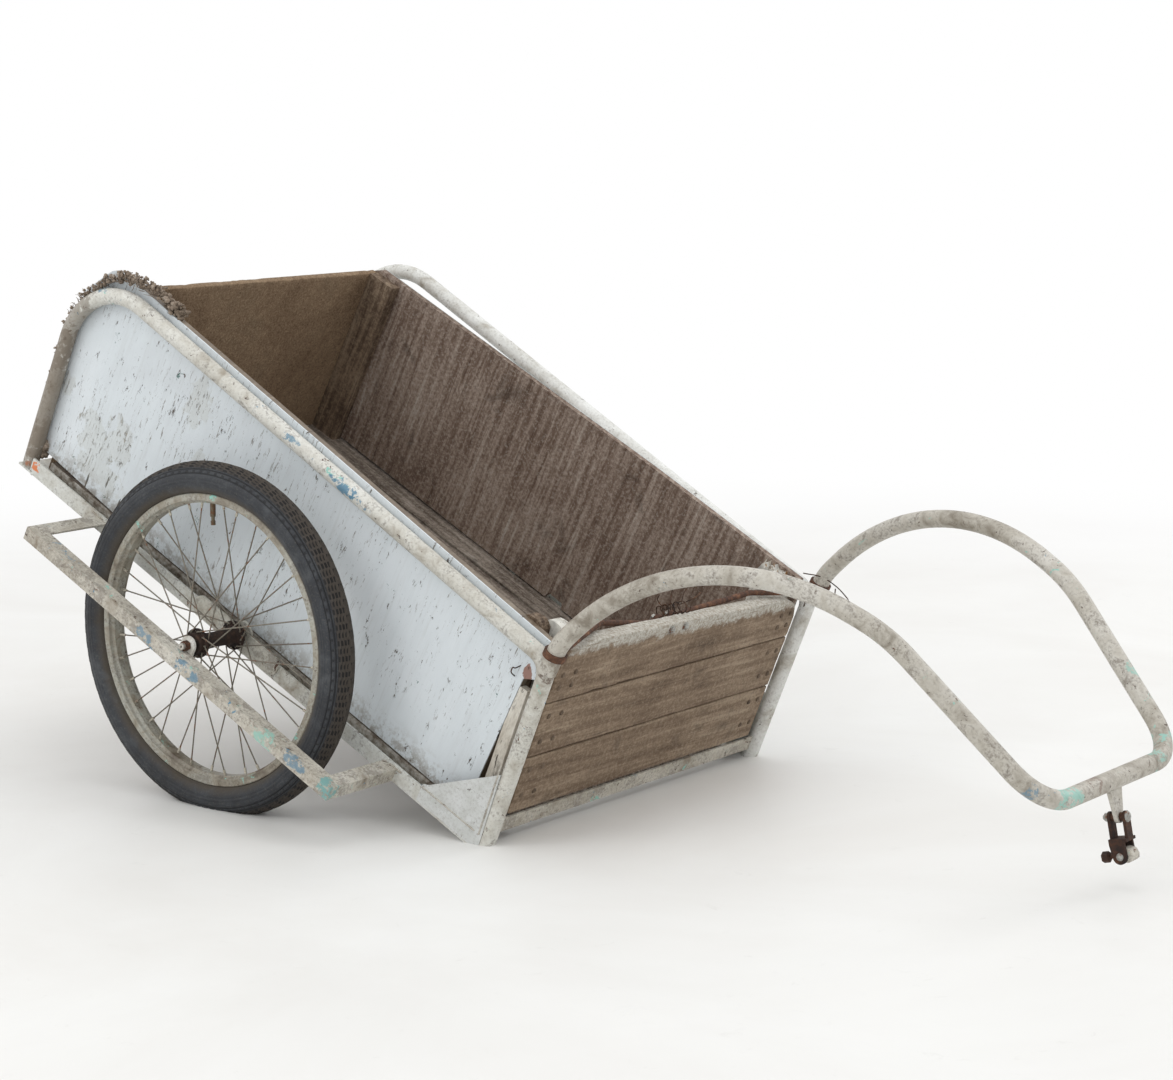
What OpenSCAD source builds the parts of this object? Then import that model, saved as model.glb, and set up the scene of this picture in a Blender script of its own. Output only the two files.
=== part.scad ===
// Two-wheeled bicycle trailer: plywood and plank box on a welded tube and angle-iron frame,
// spoked wheels held between the box and angle-iron outriggers, bent-tube drawbow and swivel hitch.
// It is parked nose-down: it stands on its two slack tyres and on its two front feet.
// Every piece is laid out with the box level (x forwards, y to the left, z up from the bottom
// rail's underside) and then tipped into the parked stance by parked().

/* [Frame] */
// Distance along the bottom rail between the front and rear upright axes
box_l = 988; // [800:1:1200]
// Height of the top rail's axis over the bottom rail's underside, at the front
rail_h_front = 297; // [240:1:360]
// Height of the top rail's axis over the bottom rail's underside, at the rear
rail_h_rear = 342; // [285:1:415]
// Distance from the middle of the cart to the axis of each side frame's tube
side_y = 320; // [265:1:385]
// How far the front uprights lean back at the top rail
front_lean = 26; // [10:1:40]
// How far the rear uprights lean back at the top rail
rear_lean = 18; // [5:1:30]
// Outside diameter of the side frame's tube
frame_d = 24; // [20:0.5:28]
// Wall of the side frame's tube
frame_wall = 1.6; // [1.2:0.1:2.5]
// Bend radius of the tube's axis at the front top corner
front_bend_r = 30; // [25:1:45]
// Bend radius of the tube's axis at the rear top corner
rear_bend_r = 110; // [80:1:130]
// Height of the foot's standing point over the bottom rail's underside
foot_rise = 14.6; // [10:0.1:18]

/* [Angle iron] */
// Height of the bottom rail's upright flange
rail_h = 25; // [20:1:30]
// Width of the bottom rail's flat flange
rail_w = 30; // [26:1:36]
// Thickness of all angle iron
angle_t = 3; // [2:0.5:4]
// Depth of the cross members under the floor
cross_h = 25; // [18:1:32]
// Length of the gusset's top edge along the rail, measured back from the front upright
gusset_l = 124; // [95:1:150]
// Height of the gusset along the front upright
gusset_h = 121; // [95:1:145]

/* [Wheels] */
// Outside radius of the tyre
tyre_r = 253; // [240:1:262]
// Width of the tyre
tyre_w = 50; // [42:1:56]
// Outside radius of the rim at its bead edges
rim_r = 209; // [205:0.5:213]
// Height from the axle down to the floor on the slack tyre
axle_drop = 241.5; // [232:0.5:250]
// Place of the axle along the box, as a distance behind the front upright
axle_x = 498; // [420:1:560]
// Height of the axle over the bottom rail's underside
axle_z = 28.3; // [25:0.1:34]
// Thickness of the axle plates and of the axle brackets
plate_t = 4; // [3:0.5:6]
// Number of spokes in a wheel
spoke_n = 36; // [24:12:36]
// Diameter of a spoke
spoke_d = 2.0; // [1.8:0.1:2.3]
// Half the distance between the hub's flanges
flange_y = 36; // [32:0.5:38]
// Diameter of the axle
axle_d = 9.5; // [8:0.1:10]
// Distance between the faces that hold the hub
hub_span = 104; // [100:0.5:112]

/* [Outriggers] */
// Half of the outrigger's length
outrig_half = 326; // [290:1:360]
// Height of the outrigger's upright flange
outrig_h = 20; // [16:1:24]
// Width of the outrigger's flat flange
outrig_w = 24; // [20:1:28]

/* [Box] */
// Thickness of the plywood side panels
panel_t = 12; // [9:0.5:15]
// Height of the panels' top edge over the top rail's axis
panel_over = 17.5; // [13:0.5:24]
// Thickness of the floor planks
floor_t = 20; // [15:1:24]
// Gap between floor planks
floor_gap = 4; // [2:0.5:8]
// Thickness of the front planks
front_t = 22; // [16:1:26]
// Height of the front planks' lower edge
front_z0 = 55; // [53:1:70]
// Thickness of the rear board
rear_t = 12; // [9:1:18]
// Height of the rear board's top edge
rear_top = 314; // [270:1:330]
// Thickness of the corner posts
post_t = 20; // [16:1:24]

/* [Drawbow and hitch] */
// Outside diameter of the drawbow's tube
bow_d = 25.5; // [22:0.5:28]
// Wall of the drawbow's tube
bow_wall = 2; // [1.5:0.1:3]
// Reach of the drawbow's crossbar in front of its feet
bow_reach = 638; // [540:1:720]
// Height of the drawbow's crown over the bottom rail's underside
bow_top = 584; // [540:1:620]
// Height of the drawbow's crossbar over the bottom rail's underside
bow_end_z = 493; // [470:1:520]
// Half the distance between the drawbow's corners at the crossbar
bow_end_y = 182; // [150:1:215]
// Distance from the crossbar's axis down to the hitch pivot
tab_l = 48; // [42:1:60]
// Thickness of the hitch tab
tab_t = 6; // [5:0.5:8]
// Forward lean of the hitch from plumb
hitch_lean = 11.6; // [5:0.1:16]
// Distance between the hitch pivot and the swivel block's bolt
hitch_drop = 50; // [46:1:60]
// Diameter of both hitch bolts
hitch_bolt_d = 6; // [5:0.5:7]

/* [Hidden] */
$fn = 48;
run = 0.05;
seat = 0.3;
lap = 0.6;
skin = 0.05;
frame_r = frame_d / 2;
frame_ri = frame_r - frame_wall;
bow_r = bow_d / 2;
bow_ri = bow_r - bow_wall;
top_slope = (rail_h_rear - rail_h_front) / box_l;
f_slope = -front_lean / rail_h_front;
r_slope = -rear_lean / rail_h_rear;
// The parked stance: the feet's standing points and the axle's height over the floor fix the tilt.
foot_span = norm([axle_x, axle_z - foot_rise]);
tilt = asin(axle_drop / foot_span) - atan2(axle_z - foot_rise, axle_x);
lift = -foot_rise * cos(tilt);
function tip(p) = [p[0] * cos(tilt) + p[2] * sin(tilt), p[1], -p[0] * sin(tilt) + p[2] * cos(tilt) + lift];
// Corners of the side frame in the level frame (x, z).
top_front_x = f_slope * rail_h_front / (1 + f_slope * top_slope);
top_front = [top_front_x, rail_h_front - top_slope * top_front_x];
top_rear_x = (-box_l + r_slope * rail_h_front) / (1 + r_slope * top_slope);
top_rear = [top_rear_x, rail_h_front - top_slope * top_rear_x];
// Faces that other pieces seat on.
rail_out = side_y + frame_r;
rail_in = rail_out - rail_w;
panel_out = side_y - frame_r - seat;
panel_in = panel_out - panel_t;
floor_top = angle_t + floor_t;
axle_p = [-axle_x, 0, axle_z];
wheel_y = rail_out + plate_t + hub_span / 2;
bracket_in = wheel_y + hub_span / 2;
bracket_t = plate_t;
outrig_y = bracket_in + bracket_t + outrig_w;
axle_r = axle_d / 2;
// Drawbow axis: each arm lies in an upright plane that turns inwards.
bow_x0 = top_front[0] + 4;
bow_y0 = side_y + 4;
bow_yaw = atan2(bow_y0 - bow_end_y, bow_reach);
bow_h = norm([bow_reach, bow_y0 - bow_end_y]);
function arm(h, z, s) = [bow_x0 + h * cos(bow_yaw), s * (bow_y0 - h * sin(bow_yaw)), z];
bow_knee = bow_h * 0.585;
bow_pts = concat(
    [for (p = [[0, top_front[1] - 12], [0, top_front[1] + 35], [bow_h * 0.145, bow_top], [bow_knee, bow_top],
               [bow_h, bow_end_z]]) arm(p[0], p[1], 1)],
    [for (p = [[bow_h, bow_end_z], [bow_knee, bow_top], [bow_h * 0.145, bow_top], [0, top_front[1] + 35],
               [0, top_front[1] - 12]]) arm(p[0], p[1], -1)]);
bow_bends = [90, 340, 230, 75, 75, 230, 340, 90];
cross_mid = tip([bow_x0 + bow_reach, 0, bow_end_z]);
pivot_p = cross_mid + tab_l * [sin(hitch_lean), 0, -cos(hitch_lean)];
// Hitch fork.
fork_in = 8.8;
fork_t = 4;
fork_w = 15;
cheek_in = 9.5;
cheek_t = 3.5;
block_r = 9;
bolt_r = hitch_bolt_d / 2;
screw_r = 3;
screw_tilt = 3.4;
screw_in = bolt_r + 1.6;
// The row's origin: the middle of the part's footprint, on the floor.
rear_end = tip([-box_l - frame_r, 0, 0])[0];
front_end = pivot_p[0] + hitch_drop * sin(hitch_lean) + 17;
origin_x = (rear_end + front_end) / 2;

// ---- stance -------------------------------------------------------------------------------
module parked() {
    translate([-origin_x, 0, lift]) rotate([0, tilt, 0]) children();
}

module floor_cut() {
    difference() {
        children();
        translate([-2000, -800, -300]) cube([4000, 1600, 300]);
    }
}

module both_sides() {
    children();
    mirror([0, 1, 0]) children();
}

module left_or_right(s) {
    if (s > 0) children();
    else mirror([0, 1, 0]) children();
}

// ---- tube running through corner points with true bends --------------------------------------
function unit(v) = v / norm(v);
function turn(a, b) = acos(max(-1, min(1, a * b)));

module ring(ro, ri) {
    difference() {
        circle(r = ro);
        if (ri > 0) circle(r = ri);
    }
}

module axes(x, y, z, p) {
    multmatrix([[x[0], y[0], z[0], p[0]], [x[1], y[1], z[1], p[1]], [x[2], y[2], z[2], p[2]],
                [0, 0, 0, 1]]) children();
}

module straight(p, q, ro, ri) {
    d = unit(q - p);
    x = unit(cross(abs(d[1]) < 0.9 ? [0, 1, 0] : [1, 0, 0], d));
    axes(x, cross(d, x), d, p) linear_extrude(norm(q - p)) ring(ro, ri);
}

module bend(v, a, b, r, ro, ri) {
    ang = turn(a, b);
    n = unit(b - a * (a * b));
    s = v - a * r * tan(ang / 2);
    axes(-n, a, cross(-n, a), s + n * r) rotate_extrude(angle = ang) translate([r, 0]) ring(ro, ri);
}

function setback(pts, rads, i) =
    i == 0 || i == len(pts) - 1 ? 0
    : rads[i - 1] * tan(turn(unit(pts[i] - pts[i - 1]), unit(pts[i + 1] - pts[i])) / 2);

// Straights reach a little way into the bends, a hair inside the bends' skin.
module tube_run(pts, rads, ro, ri) {
    n = len(pts) - 1;
    for (i = [0:n - 1]) {
        d = unit(pts[i + 1] - pts[i]);
        a = i == 0 ? 0 : setback(pts, rads, i) - lap;
        b = i == n - 1 ? 0 : setback(pts, rads, i + 1) - lap;
        straight(pts[i] + d * a, pts[i + 1] - d * b, ro - skin, ri > 0 ? ri + skin : 0);
    }
    for (i = [1:n - 1])
        bend(pts[i], unit(pts[i] - pts[i - 1]), unit(pts[i + 1] - pts[i]), rads[i - 1], ro, ri);
}

// An upright plate: its outline is drawn in x and z, and it reaches from y0 to y0 + t.
module side_plate(y0, t) {
    translate([0, y0 + t, 0]) rotate([90, 0, 0]) linear_extrude(t) children();
}

// A cross plate: its outline is drawn in y and z, and it reaches from x0 to x0 + t.
module cross_plate(x0, t) {
    translate([x0, 0, 0]) rotate([90, 0, 90]) linear_extrude(t) children();
}

// A round bar along y from y0 to y1.
module bar_y(r, y0, y1) {
    translate([0, y1, 0]) rotate([90, 0, 0]) cylinder(r = r, h = y1 - y0);
}

// A turned piece about the y axis: its outline is radius and distance along the axis.
module turned_y() {
    rotate([90, 0, 0]) rotate_extrude($fn = 96) children();
}

// ---- side frames -------------------------------------------------------------------------------
side_pts = [[-12 * f_slope, side_y, -12], [top_front[0], side_y, top_front[1]],
            [top_rear[0], side_y, top_rear[1]], [-box_l, side_y, 0]];

module side_solid(ro, ri) {
    tube_run(side_pts, [front_bend_r, rear_bend_r], ro, ri);
}

module side_tube(s) {
    color("ivory") floor_cut() parked() left_or_right(s) difference() {
        union() {
            side_solid(frame_r, frame_ri);
            straight(side_pts[0], side_pts[0] + 44 * unit(side_pts[1] - side_pts[0]), (frame_r + frame_ri) / 2, 0);
        }
        translate([-box_l - 60, side_y - 40, -60]) cube([140, 80, 60 + angle_t]);
    }
}

module front_upright(clear) {
    straight(side_pts[0], [f_slope * 200, side_y, 200], frame_r + clear, 0);
}

module front_corner(clear) {
    tube_run([[f_slope * 150, side_y, 150], side_pts[1], side_pts[1] + [-80, 0, 80 * top_slope]],
             [front_bend_r], frame_r + clear + skin, 0);
}

module side_tube_right() { side_tube(-1); }
module side_tube_left() { side_tube(1); }

// ---- angle iron --------------------------------------------------------------------------------
module bottom_rail(s) {
    color("gainsboro") floor_cut() parked() left_or_right(s) difference() {
        union() {
            translate([-box_l - frame_r, rail_in, 0]) cube([box_l + frame_r - 12, rail_w, angle_t]);
            translate([-box_l + frame_r + 0.5, rail_out - angle_t, 0])
                cube([box_l - frame_r - 0.5 - gusset_l - run, angle_t, rail_h]);
        }
        // room for the inner axle nut behind the axle plate
        translate([-axle_x - 13, rail_out - angle_t - 1, axle_z - 12])
            cube([26, angle_t + 2, 30]);
        front_upright(run);
    }
}

module bottom_rail_right() { bottom_rail(-1); }
module bottom_rail_left() { bottom_rail(1); }

module gussets() {
    color("gainsboro") floor_cut() parked() both_sides() difference() {
        side_plate(rail_out - angle_t, angle_t)
            polygon([[-gusset_l, angle_t + run], [-gusset_l, rail_h + 4], [-gusset_l + 8, rail_h + 8],
                     [f_slope * gusset_h - frame_r + 4, gusset_h], [-4, angle_t + run]]);
        front_upright(run);
    }
}

module cross_member_front() {
    color("silver") parked() difference() {
        leaning() {
            translate([-angle_t, -side_y + frame_r - 6, front_z0 - 27])
                cube([angle_t, 2 * (side_y - frame_r + 6), 22]);
            translate([-22, -side_y + frame_r + 4, front_z0 - 27])
                cube([20, 2 * (side_y - frame_r - 4), angle_t]);
        }
        both_sides() front_upright(run);
    }
}

module cross_member(x) {
    color("silver") parked() {
        translate([x, -rail_in, 0]) cube([cross_h, 2 * rail_in, angle_t]);
        translate([x, -rail_in, -cross_h + angle_t]) cube([angle_t, 2 * rail_in, cross_h]);
    }
}

module cross_member_mid() { cross_member(-axle_x - cross_h / 2); }
module cross_member_rear() { cross_member(-box_l - frame_r + 2); }

// ---- outriggers ----------------------------------------------------------------------------------
module outrigger(s) {
    x0 = -axle_x - outrig_half;
    len = 2 * outrig_half;
    color("gainsboro") parked() left_or_right(s) {
        difference() {
            translate([x0, rail_out, outrig_h - angle_t]) cube([len, outrig_y - rail_out, angle_t]);
            translate([x0 + outrig_w, rail_out - 1, 0])
                cube([len - 2 * outrig_w, outrig_y - rail_out - outrig_w + 1, outrig_h + 1]);
        }
        difference() {
            translate([x0, rail_out, 0]) cube([len, outrig_y - rail_out, outrig_h - angle_t]);
            translate([x0 + angle_t, rail_out - 1, -1])
                cube([len - 2 * angle_t, outrig_y - rail_out - angle_t + 1, outrig_h + 2]);
        }
    }
}

module outrigger_right() { outrigger(-1); }
module outrigger_left() { outrigger(1); }

// ---- axle holders -----------------------------------------------------------------------------
module axle_brackets() {
    color("white") parked() both_sides() difference() {
        translate(axle_p) side_plate(bracket_in, bracket_t) {
            circle(r = 13);
            translate([-13, -26]) square([26, 26]);
        }
        translate(axle_p) bar_y(axle_r + run, bracket_in - 1, bracket_in + bracket_t + 1);
    }
}

module axle_plates() {
    color("gainsboro") parked() both_sides() difference() {
        translate(axle_p) side_plate(rail_out, plate_t) {
            circle(r = 19);
            translate([-84, -9]) circle(r = 15);
            translate([66, -9]) circle(r = 15);
            translate([-84, -24]) square([150, 30]);
        }
        translate(axle_p) bar_y(axle_r + run, rail_out - 1, rail_out + plate_t + 1);
    }
}

module axle(s) {
    color("dimgray") parked() left_or_right(s) translate(axle_p) difference() {
        bar_y(axle_r, rail_out - 11, bracket_in + bracket_t + 12.5);
        bar_y(1.6, bracket_in + bracket_t + 9.5, bracket_in + bracket_t + 13);
    }
}

module axle_right() { axle(-1); }
module axle_left() { axle(1); }

cone_in = 42.6;

module axle_cones() {
    color("dimgray") parked() both_sides() translate(axle_p + [0, wheel_y, 0]) {
        both_sides() turned_y() polygon([[axle_r + run, -36.5], [6.9, -36.5], [6.9, -cone_in],
            [8.6, -cone_in - 0.6], [8.6, -hub_span / 2 + 4], [axle_r + run, -hub_span / 2 + 4]]);
    }
}

module hex_y(flat, y0, y1) {
    translate([0, y1, 0]) rotate([90, 0, 0]) cylinder(d = flat / cos(30), h = y1 - y0, $fn = 6);
}

module axle_nuts() {
    color("saddlebrown") parked() both_sides() translate(axle_p) {
        difference() {
            union() {
                hex_y(13, bracket_in + bracket_t + seat / 3, bracket_in + bracket_t + 8);
                hex_y(15, rail_out - angle_t - 5, rail_out - seat / 3);
                translate([0, wheel_y, 0]) both_sides() hex_y(15, hub_span / 2 - 4 + seat / 3,
                                                              hub_span / 2 - seat / 3);
            }
            bar_y(axle_r + run, rail_out - 20, bracket_in + bracket_t + 20);
        }
    }
}

// ---- wheels, drawn about their own axis -------------------------------------------------------
module wheel_at(s) {
    parked() left_or_right(s) translate([-axle_x, wheel_y, axle_z]) rotate([0, -tilt, 0]) children();
}

hub_r = 21;
hub_hole_r = 17.6;
flange_t = 3.4;

module hub(s) {
    color("#3a2a22") wheel_at(s) difference() {
        turned_y() polygon([[7.5, -36], [7.5, 36], [7.5, 37], [12, 37], [12, 45.4], [9.4, 45.4], [9.4, 46.4],
            [14.6, 46.4], [15.4, 44], [15.4, flange_y + flange_t / 2 + 1.2], [hub_r, flange_y + flange_t / 2],
            [hub_r, flange_y - flange_t / 2], [15, flange_y - flange_t / 2], [12.6, 30], [11.4, 14], [11, 0],
            [11.4, -14], [12.6, -30], [15, -flange_y + flange_t / 2], [hub_r, -flange_y + flange_t / 2],
            [hub_r, -flange_y - flange_t / 2], [15.4, -flange_y - flange_t / 2 - 1.2], [15.4, -44],
            [14.6, -46.4], [9.4, -46.4], [9.4, -45.4], [12, -45.4], [12, -37], [7.5, -37]]);
        for (k = [0:spoke_n - 1])
            rotate([0, -hub_ang(k), 0]) translate([hub_hole_r, rim_side(k) * flange_y, 0])
                bar_y(spoke_d / 2 + 0.3, -6, 6);
    }
}

module hub_right() { hub(-1); }
module hub_left() { hub(1); }

module hub_balls(s) {
    color("silver") wheel_at(s)
        for (e = [-1, 1], i = [0:8]) rotate([0, 40 * i, 0]) translate([9.5, e * 39.6, 0]) sphere(r = 2.38);
}

module hub_balls_right() { hub_balls(-1); }
module hub_balls_left() { hub_balls(1); }

// One spoke: from its hub hole to its nipple seat. k counts the rim's holes.
nip_r = 195.5;
function on_wheel(r, a, y) = [r * cos(a), y, r * sin(a)];
function rim_side(k) = k % 2 == 0 ? 1 : -1;
function rim_ang(k) = 90 + (k + 0.5) * 360 / spoke_n;
function hub_ang(k) = (floor(k / 2) % 2 == 0 ? 60 : -60) + rim_ang(k);
// An outer spoke starts far enough out to slant in past the flange's edge.
flange_lead = 0.4 * hub_r * (flange_y - 3.2) / nip_r;
function hub_off(k) = floor(k / 2) % 2 == 0 ? flange_t / 2 + spoke_d / 2 + 0.15 + flange_lead
                                            : -(flange_t / 2 + spoke_d / 2 + 0.15);
function spoke_in(k) = on_wheel(hub_hole_r, hub_ang(k), rim_side(k) * (flange_y + hub_off(k)));
function spoke_out(k) = on_wheel(nip_r, rim_ang(k), rim_side(k) * 3.2);

module spokes(s) {
    color("dimgray") wheel_at(s) for (k = [0:spoke_n - 1]) {
        off = rim_side(k) * hub_off(k);
        straight(spoke_in(k), spoke_out(k) - 5 * unit(spoke_out(k) - spoke_in(k)), spoke_d / 2, 0);
        rotate([0, -hub_ang(k), 0]) translate([hub_hole_r, rim_side(k) * flange_y, 0])
            bar_y(spoke_d / 2 + 0.12, min(0, off) - 1.2, max(0, off) + 1.2);
    }
}

module spokes_right() { spokes(-1); }
module spokes_left() { spokes(1); }

module nipples(s) {
    color("lightgray") wheel_at(s) for (k = [0:spoke_n - 1]) {
        p = on_wheel(nip_r, rim_ang(k), rim_side(k) * 3.2);
        d = unit(spoke_in(k) - p);
        straight(p - d * 1.9, p + d * 9, 1.9, spoke_d / 2 + 0.02);
        straight(p - d * 3, p - d * 1.6, 2.8, 0);
    }
}

module nipples_right() { nipples(-1); }
module nipples_left() { nipples(1); }

// Rolled steel rim: bead walls with turned-in edges, side channels and a nipple bed nearest the hub.
rim_half = [[rim_r - 1.2, 15.6], [rim_r, 14.6], [rim_r - 0.6, 13.4], [rim_r - 4.5, 13.2], [rim_r - 6.5, 11.4],
            [rim_r - 8, 8.8], [rim_r - 12.4, 6.4], [rim_r - 12.8, 0]];
rim_back = [[rim_r - 14.4, 0], [rim_r - 14, 7.6], [rim_r - 10.4, 10], [rim_r - 8.6, 13], [rim_r - 10.6, 15],
            [rim_r - 9.4, 16.2], [rim_r - 5, 15.4]];

module rim(s) {
    color("#cfd8cc") wheel_at(s) difference() {
        turned_y() polygon(concat(rim_half, rim_back));
        for (k = [0:spoke_n - 1]) {
            p = on_wheel(nip_r, rim_ang(k), rim_side(k) * 3.2);
            d = unit(spoke_in(k) - p);
            straight(p - d * 6, p + d * 4, 2.05, 0);
        }
        translate([0, 0, rim_r - 20]) rotate([0, 0, 45]) cylinder(r = 4.3, h = 12);
    }
    color("#cfd8cc") wheel_at(s) difference() {
        turned_y() mirror([0, 1]) polygon(concat(rim_half, rim_back));
        for (k = [0:spoke_n - 1]) {
            p = on_wheel(nip_r, rim_ang(k), rim_side(k) * 3.2);
            d = unit(spoke_in(k) - p);
            straight(p - d * 6, p + d * 4, 2.05, 0);
        }
        translate([0, 0, rim_r - 20]) rotate([0, 0, 45]) cylinder(r = 4.3, h = 12);
    }
}

module rim_right() { rim(-1); }
module rim_left() { rim(1); }

// Tyre: casing between its beads, with shoulder grooves; the lowest part is pressed flat.
half_w = tyre_w / 2;
sect_r = (tyre_r - rim_r + 6) / 2;
sect_c = tyre_r - sect_r;
function casing(a, g) = [sect_c + (sect_r - g) * sin(a), (half_w - g) * cos(a)];
tyre_side = [for (a = [-38:8:34]) casing(a, 0)];
tyre_crown = [for (a = [46:8:86]) casing(a, 0)];
tyre_half = concat([[rim_r - 4.4, 12.4], [rim_r - 3.8, 12.9], [rim_r + 0.4, 12.9], [rim_r + 0.9, 17.2]], tyre_side,
    [casing(38, 0), casing(39, 1.6), casing(41, 1.6), casing(42, 0)], tyre_crown);

module tyre_outline() {
    polygon(concat(tyre_half, [[tyre_r, 0]], [for (i = [len(tyre_half) - 1:-1:0]) [tyre_half[i][0], -tyre_half[i][1]]]));
}

module tyre_hollow() {
    polygon(concat([[rim_r - 12, 8.6], [rim_r + 0.5, 8.6]], [for (a = [-34:12:86]) casing(a, 4.2)],
        [[tyre_r - 5.5, 0]], [for (a = [86:-12:-34]) [casing(a, 4.2)[0], -casing(a, 4.2)[1]]],
        [[rim_r + 0.5, -8.6], [rim_r - 12, -8.6]]));
}

module tyre(s) {
    color("#2b2a29") wheel_at(s) difference() {
        turned_y() tyre_outline();
        difference() {
            turned_y() tyre_hollow();
            translate([-300, -60, -axle_drop - 50]) cube([600, 120, 54.5]);
        }
        translate([-300, -60, -axle_drop - 50]) cube([600, 120, 50]);
    }
}

module tyre_right() { tyre(-1); }
module tyre_left() { tyre(1); }

// The slack inner tube lies folded flat on the rim's bed.
module inner_tube(s) {
    color("#4a4642") wheel_at(s) difference() {
        turned_y() polygon([[rim_r - 10, -5.8], [rim_r - 7.4, -7.9], [rim_r - 5, -7], [rim_r - 4.4, 0], [rim_r - 5, 7],
                            [rim_r - 7.4, 7.9], [rim_r - 10, 5.8]]);
        translate([0, 0, rim_r - 16]) rotate([0, 0, 45]) cylinder(r = 3.9 + run, h = 24);
    }
}

module inner_tube_right() { inner_tube(-1); }
module inner_tube_left() { inner_tube(1); }

module valve(s) {
    color("darkkhaki") wheel_at(s) {
        translate([0, 0, rim_r - 46]) {
            translate([0, 0, 12]) cylinder(r = 3.9, h = 31);
            translate([0, 0, 4]) cylinder(r = 2.6, h = 8);
            cylinder(r = 3.4, h = 6);
        }
    }
}

module valve_right() { valve(-1); }
module valve_left() { valve(1); }

// ---- box ------------------------------------------------------------------------------------------
function top_z(x) = rail_h_front - top_slope * x + panel_over;
panel_rear = -box_l + r_slope * 300 + 1;
panel_front = f_slope * rail_h_front - 15;

// Corner where the plywood is rounded off over the tube's rear bend.
module panel_right() {
    color("#c9d2d6") parked() mirror([0, 1, 0]) side_plate(panel_in, panel_t)
        polygon([[-box_l - 2, floor_top + 10], [-box_l * 0.83, floor_top + 3], [-62, floor_top + 3],
                 [-61, rail_h_front - 51], [panel_front + 6, rail_h_front - 36], [panel_front + 3, rail_h_front],
                 [panel_front - 2, top_z(panel_front)], [-box_l * 0.965, top_z(-box_l * 0.965)],
                 [-box_l * 0.982, top_z(-box_l) - 10], [-box_l * 0.995, top_z(-box_l) - 28],
                 [panel_rear - 3, top_z(-box_l) - 62]]);
}

module panel_left() {
    color("#8a7560") parked() side_plate(panel_in, panel_t)
        polygon([[-box_l - 2, floor_top + 4], [-432, floor_top + 3], [-428, floor_top + 13], [-398, floor_top + 12],
                 [-394, floor_top + 3], [-366, floor_top + 3], [-362, floor_top + 14], [-326, floor_top + 13],
                 [-322, floor_top + 3], [-62, floor_top + 3], [-61, rail_h_front - 51],
                 [panel_front + 6, rail_h_front - 36], [panel_front + 3, rail_h_front],
                 [panel_front - 2, top_z(panel_front)], [-box_l * 0.35, rail_h_front + 24],
                 [-box_l * 0.97, rail_h_front + 22], [panel_rear - 3, rail_h_front - 8]]);
}

// Front planks lie in the plane of the uprights, which leans back.
front_lean_a = atan2(front_lean, rail_h_front);
plank_y = panel_in - 2;
plank_zs = [front_z0, 145, 230];

module leaning() {
    rotate([0, -front_lean_a, 0]) children();
}

screw_head_r = 4.2;
screw_shank_r = 1.9;
screw_ys = [-plank_y + 16, -plank_y + 44, plank_y - 40, plank_y - 16];
screw_zs = [front_z0 + 28, front_z0 + 68, 168, 208, 252, 272];

module screw_holes() {
    for (y = screw_ys, z = screw_zs) translate([-front_t - 1, y, z]) rotate([0, 90, 0])
        cylinder(r = screw_shank_r + run, h = front_t + 2);
}

module front_plank(z0, z1) {
    color("#8d7b69") parked() leaning() difference() {
        translate([-front_t, -plank_y, z0]) cube([front_t, 2 * plank_y, z1 - z0]);
        screw_holes();
    }
}

module front_plank_low() { front_plank(plank_zs[0], plank_zs[1] - 2); }
module front_plank_mid() { front_plank(plank_zs[1], plank_zs[2] - 1.5); }

tie_ys = [-43, -10];
tie_z = rail_h_front + 4;

module front_plank_top() {
    color("#8d7b69") parked() leaning() difference() {
        cross_plate(-front_t, front_t)
            polygon([[-plank_y, plank_zs[2]], [plank_y, plank_zs[2]], [plank_y - 3, 275], [plank_y - 12, 288],
                     [plank_y - 44, rail_h_front + 2], [-214, rail_h_front + 20], [-250, rail_h_front + 14],
                     [-276, rail_h_front + 3], [-plank_y, 284]]);
        screw_holes();
        for (y = tie_ys) translate([-front_t - 1, y, tie_z]) rotate([0, 90, 0])
            cylinder(r = 3 + run, h = front_t + 2);
    }
}

module plank_screws() {
    color("#6b5a4c") parked() leaning() for (y = screw_ys, z = screw_zs) translate([0, y, z]) {
        translate([-front_t + 2, 0, 0]) rotate([0, 90, 0]) cylinder(r = screw_shank_r, h = front_t - 2);
        rotate([0, 90, 0]) cylinder(r1 = screw_head_r, r2 = screw_head_r - 1.6, h = 1.6);
    }
}

rear_x = -box_l + frame_r + 1;

module rear_board() {
    color("#6f5b45") parked() translate([rear_x, 0, 0]) cross_plate(0, rear_t)
        polygon([[-panel_in + seat, angle_t + run], [panel_in - seat, angle_t + run], [panel_in - seat, rear_top - 3],
                 [0, rear_top - 1], [-panel_in + seat, rear_top + 2]]);
}

// Floor planks run lengthwise on the flat flanges of the rails, from the rear board's foot.
floor_x = rear_x + rear_t + seat;
floor_ys = [-panel_out, -panel_out * 0.66, -panel_out * 0.18, panel_out * 0.32, panel_out * 0.81];

module floor_planks_wide() {
    color("#7f7263") parked() for (i = [0:3])
        translate([floor_x, floor_ys[i], angle_t])
            cube([-31 - floor_x, floor_ys[i + 1] - floor_ys[i] - floor_gap, floor_t]);
}

module floor_plank_edge() {
    color("#7f7263") parked() difference() {
        translate([floor_x, floor_ys[4], angle_t]) cube([-31 - floor_x, panel_out - floor_ys[4], floor_t]);
        translate([-axle_x - 20, panel_out - 12, angle_t - 1]) cube([18, 14, floor_t + 2]);
    }
}

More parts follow.
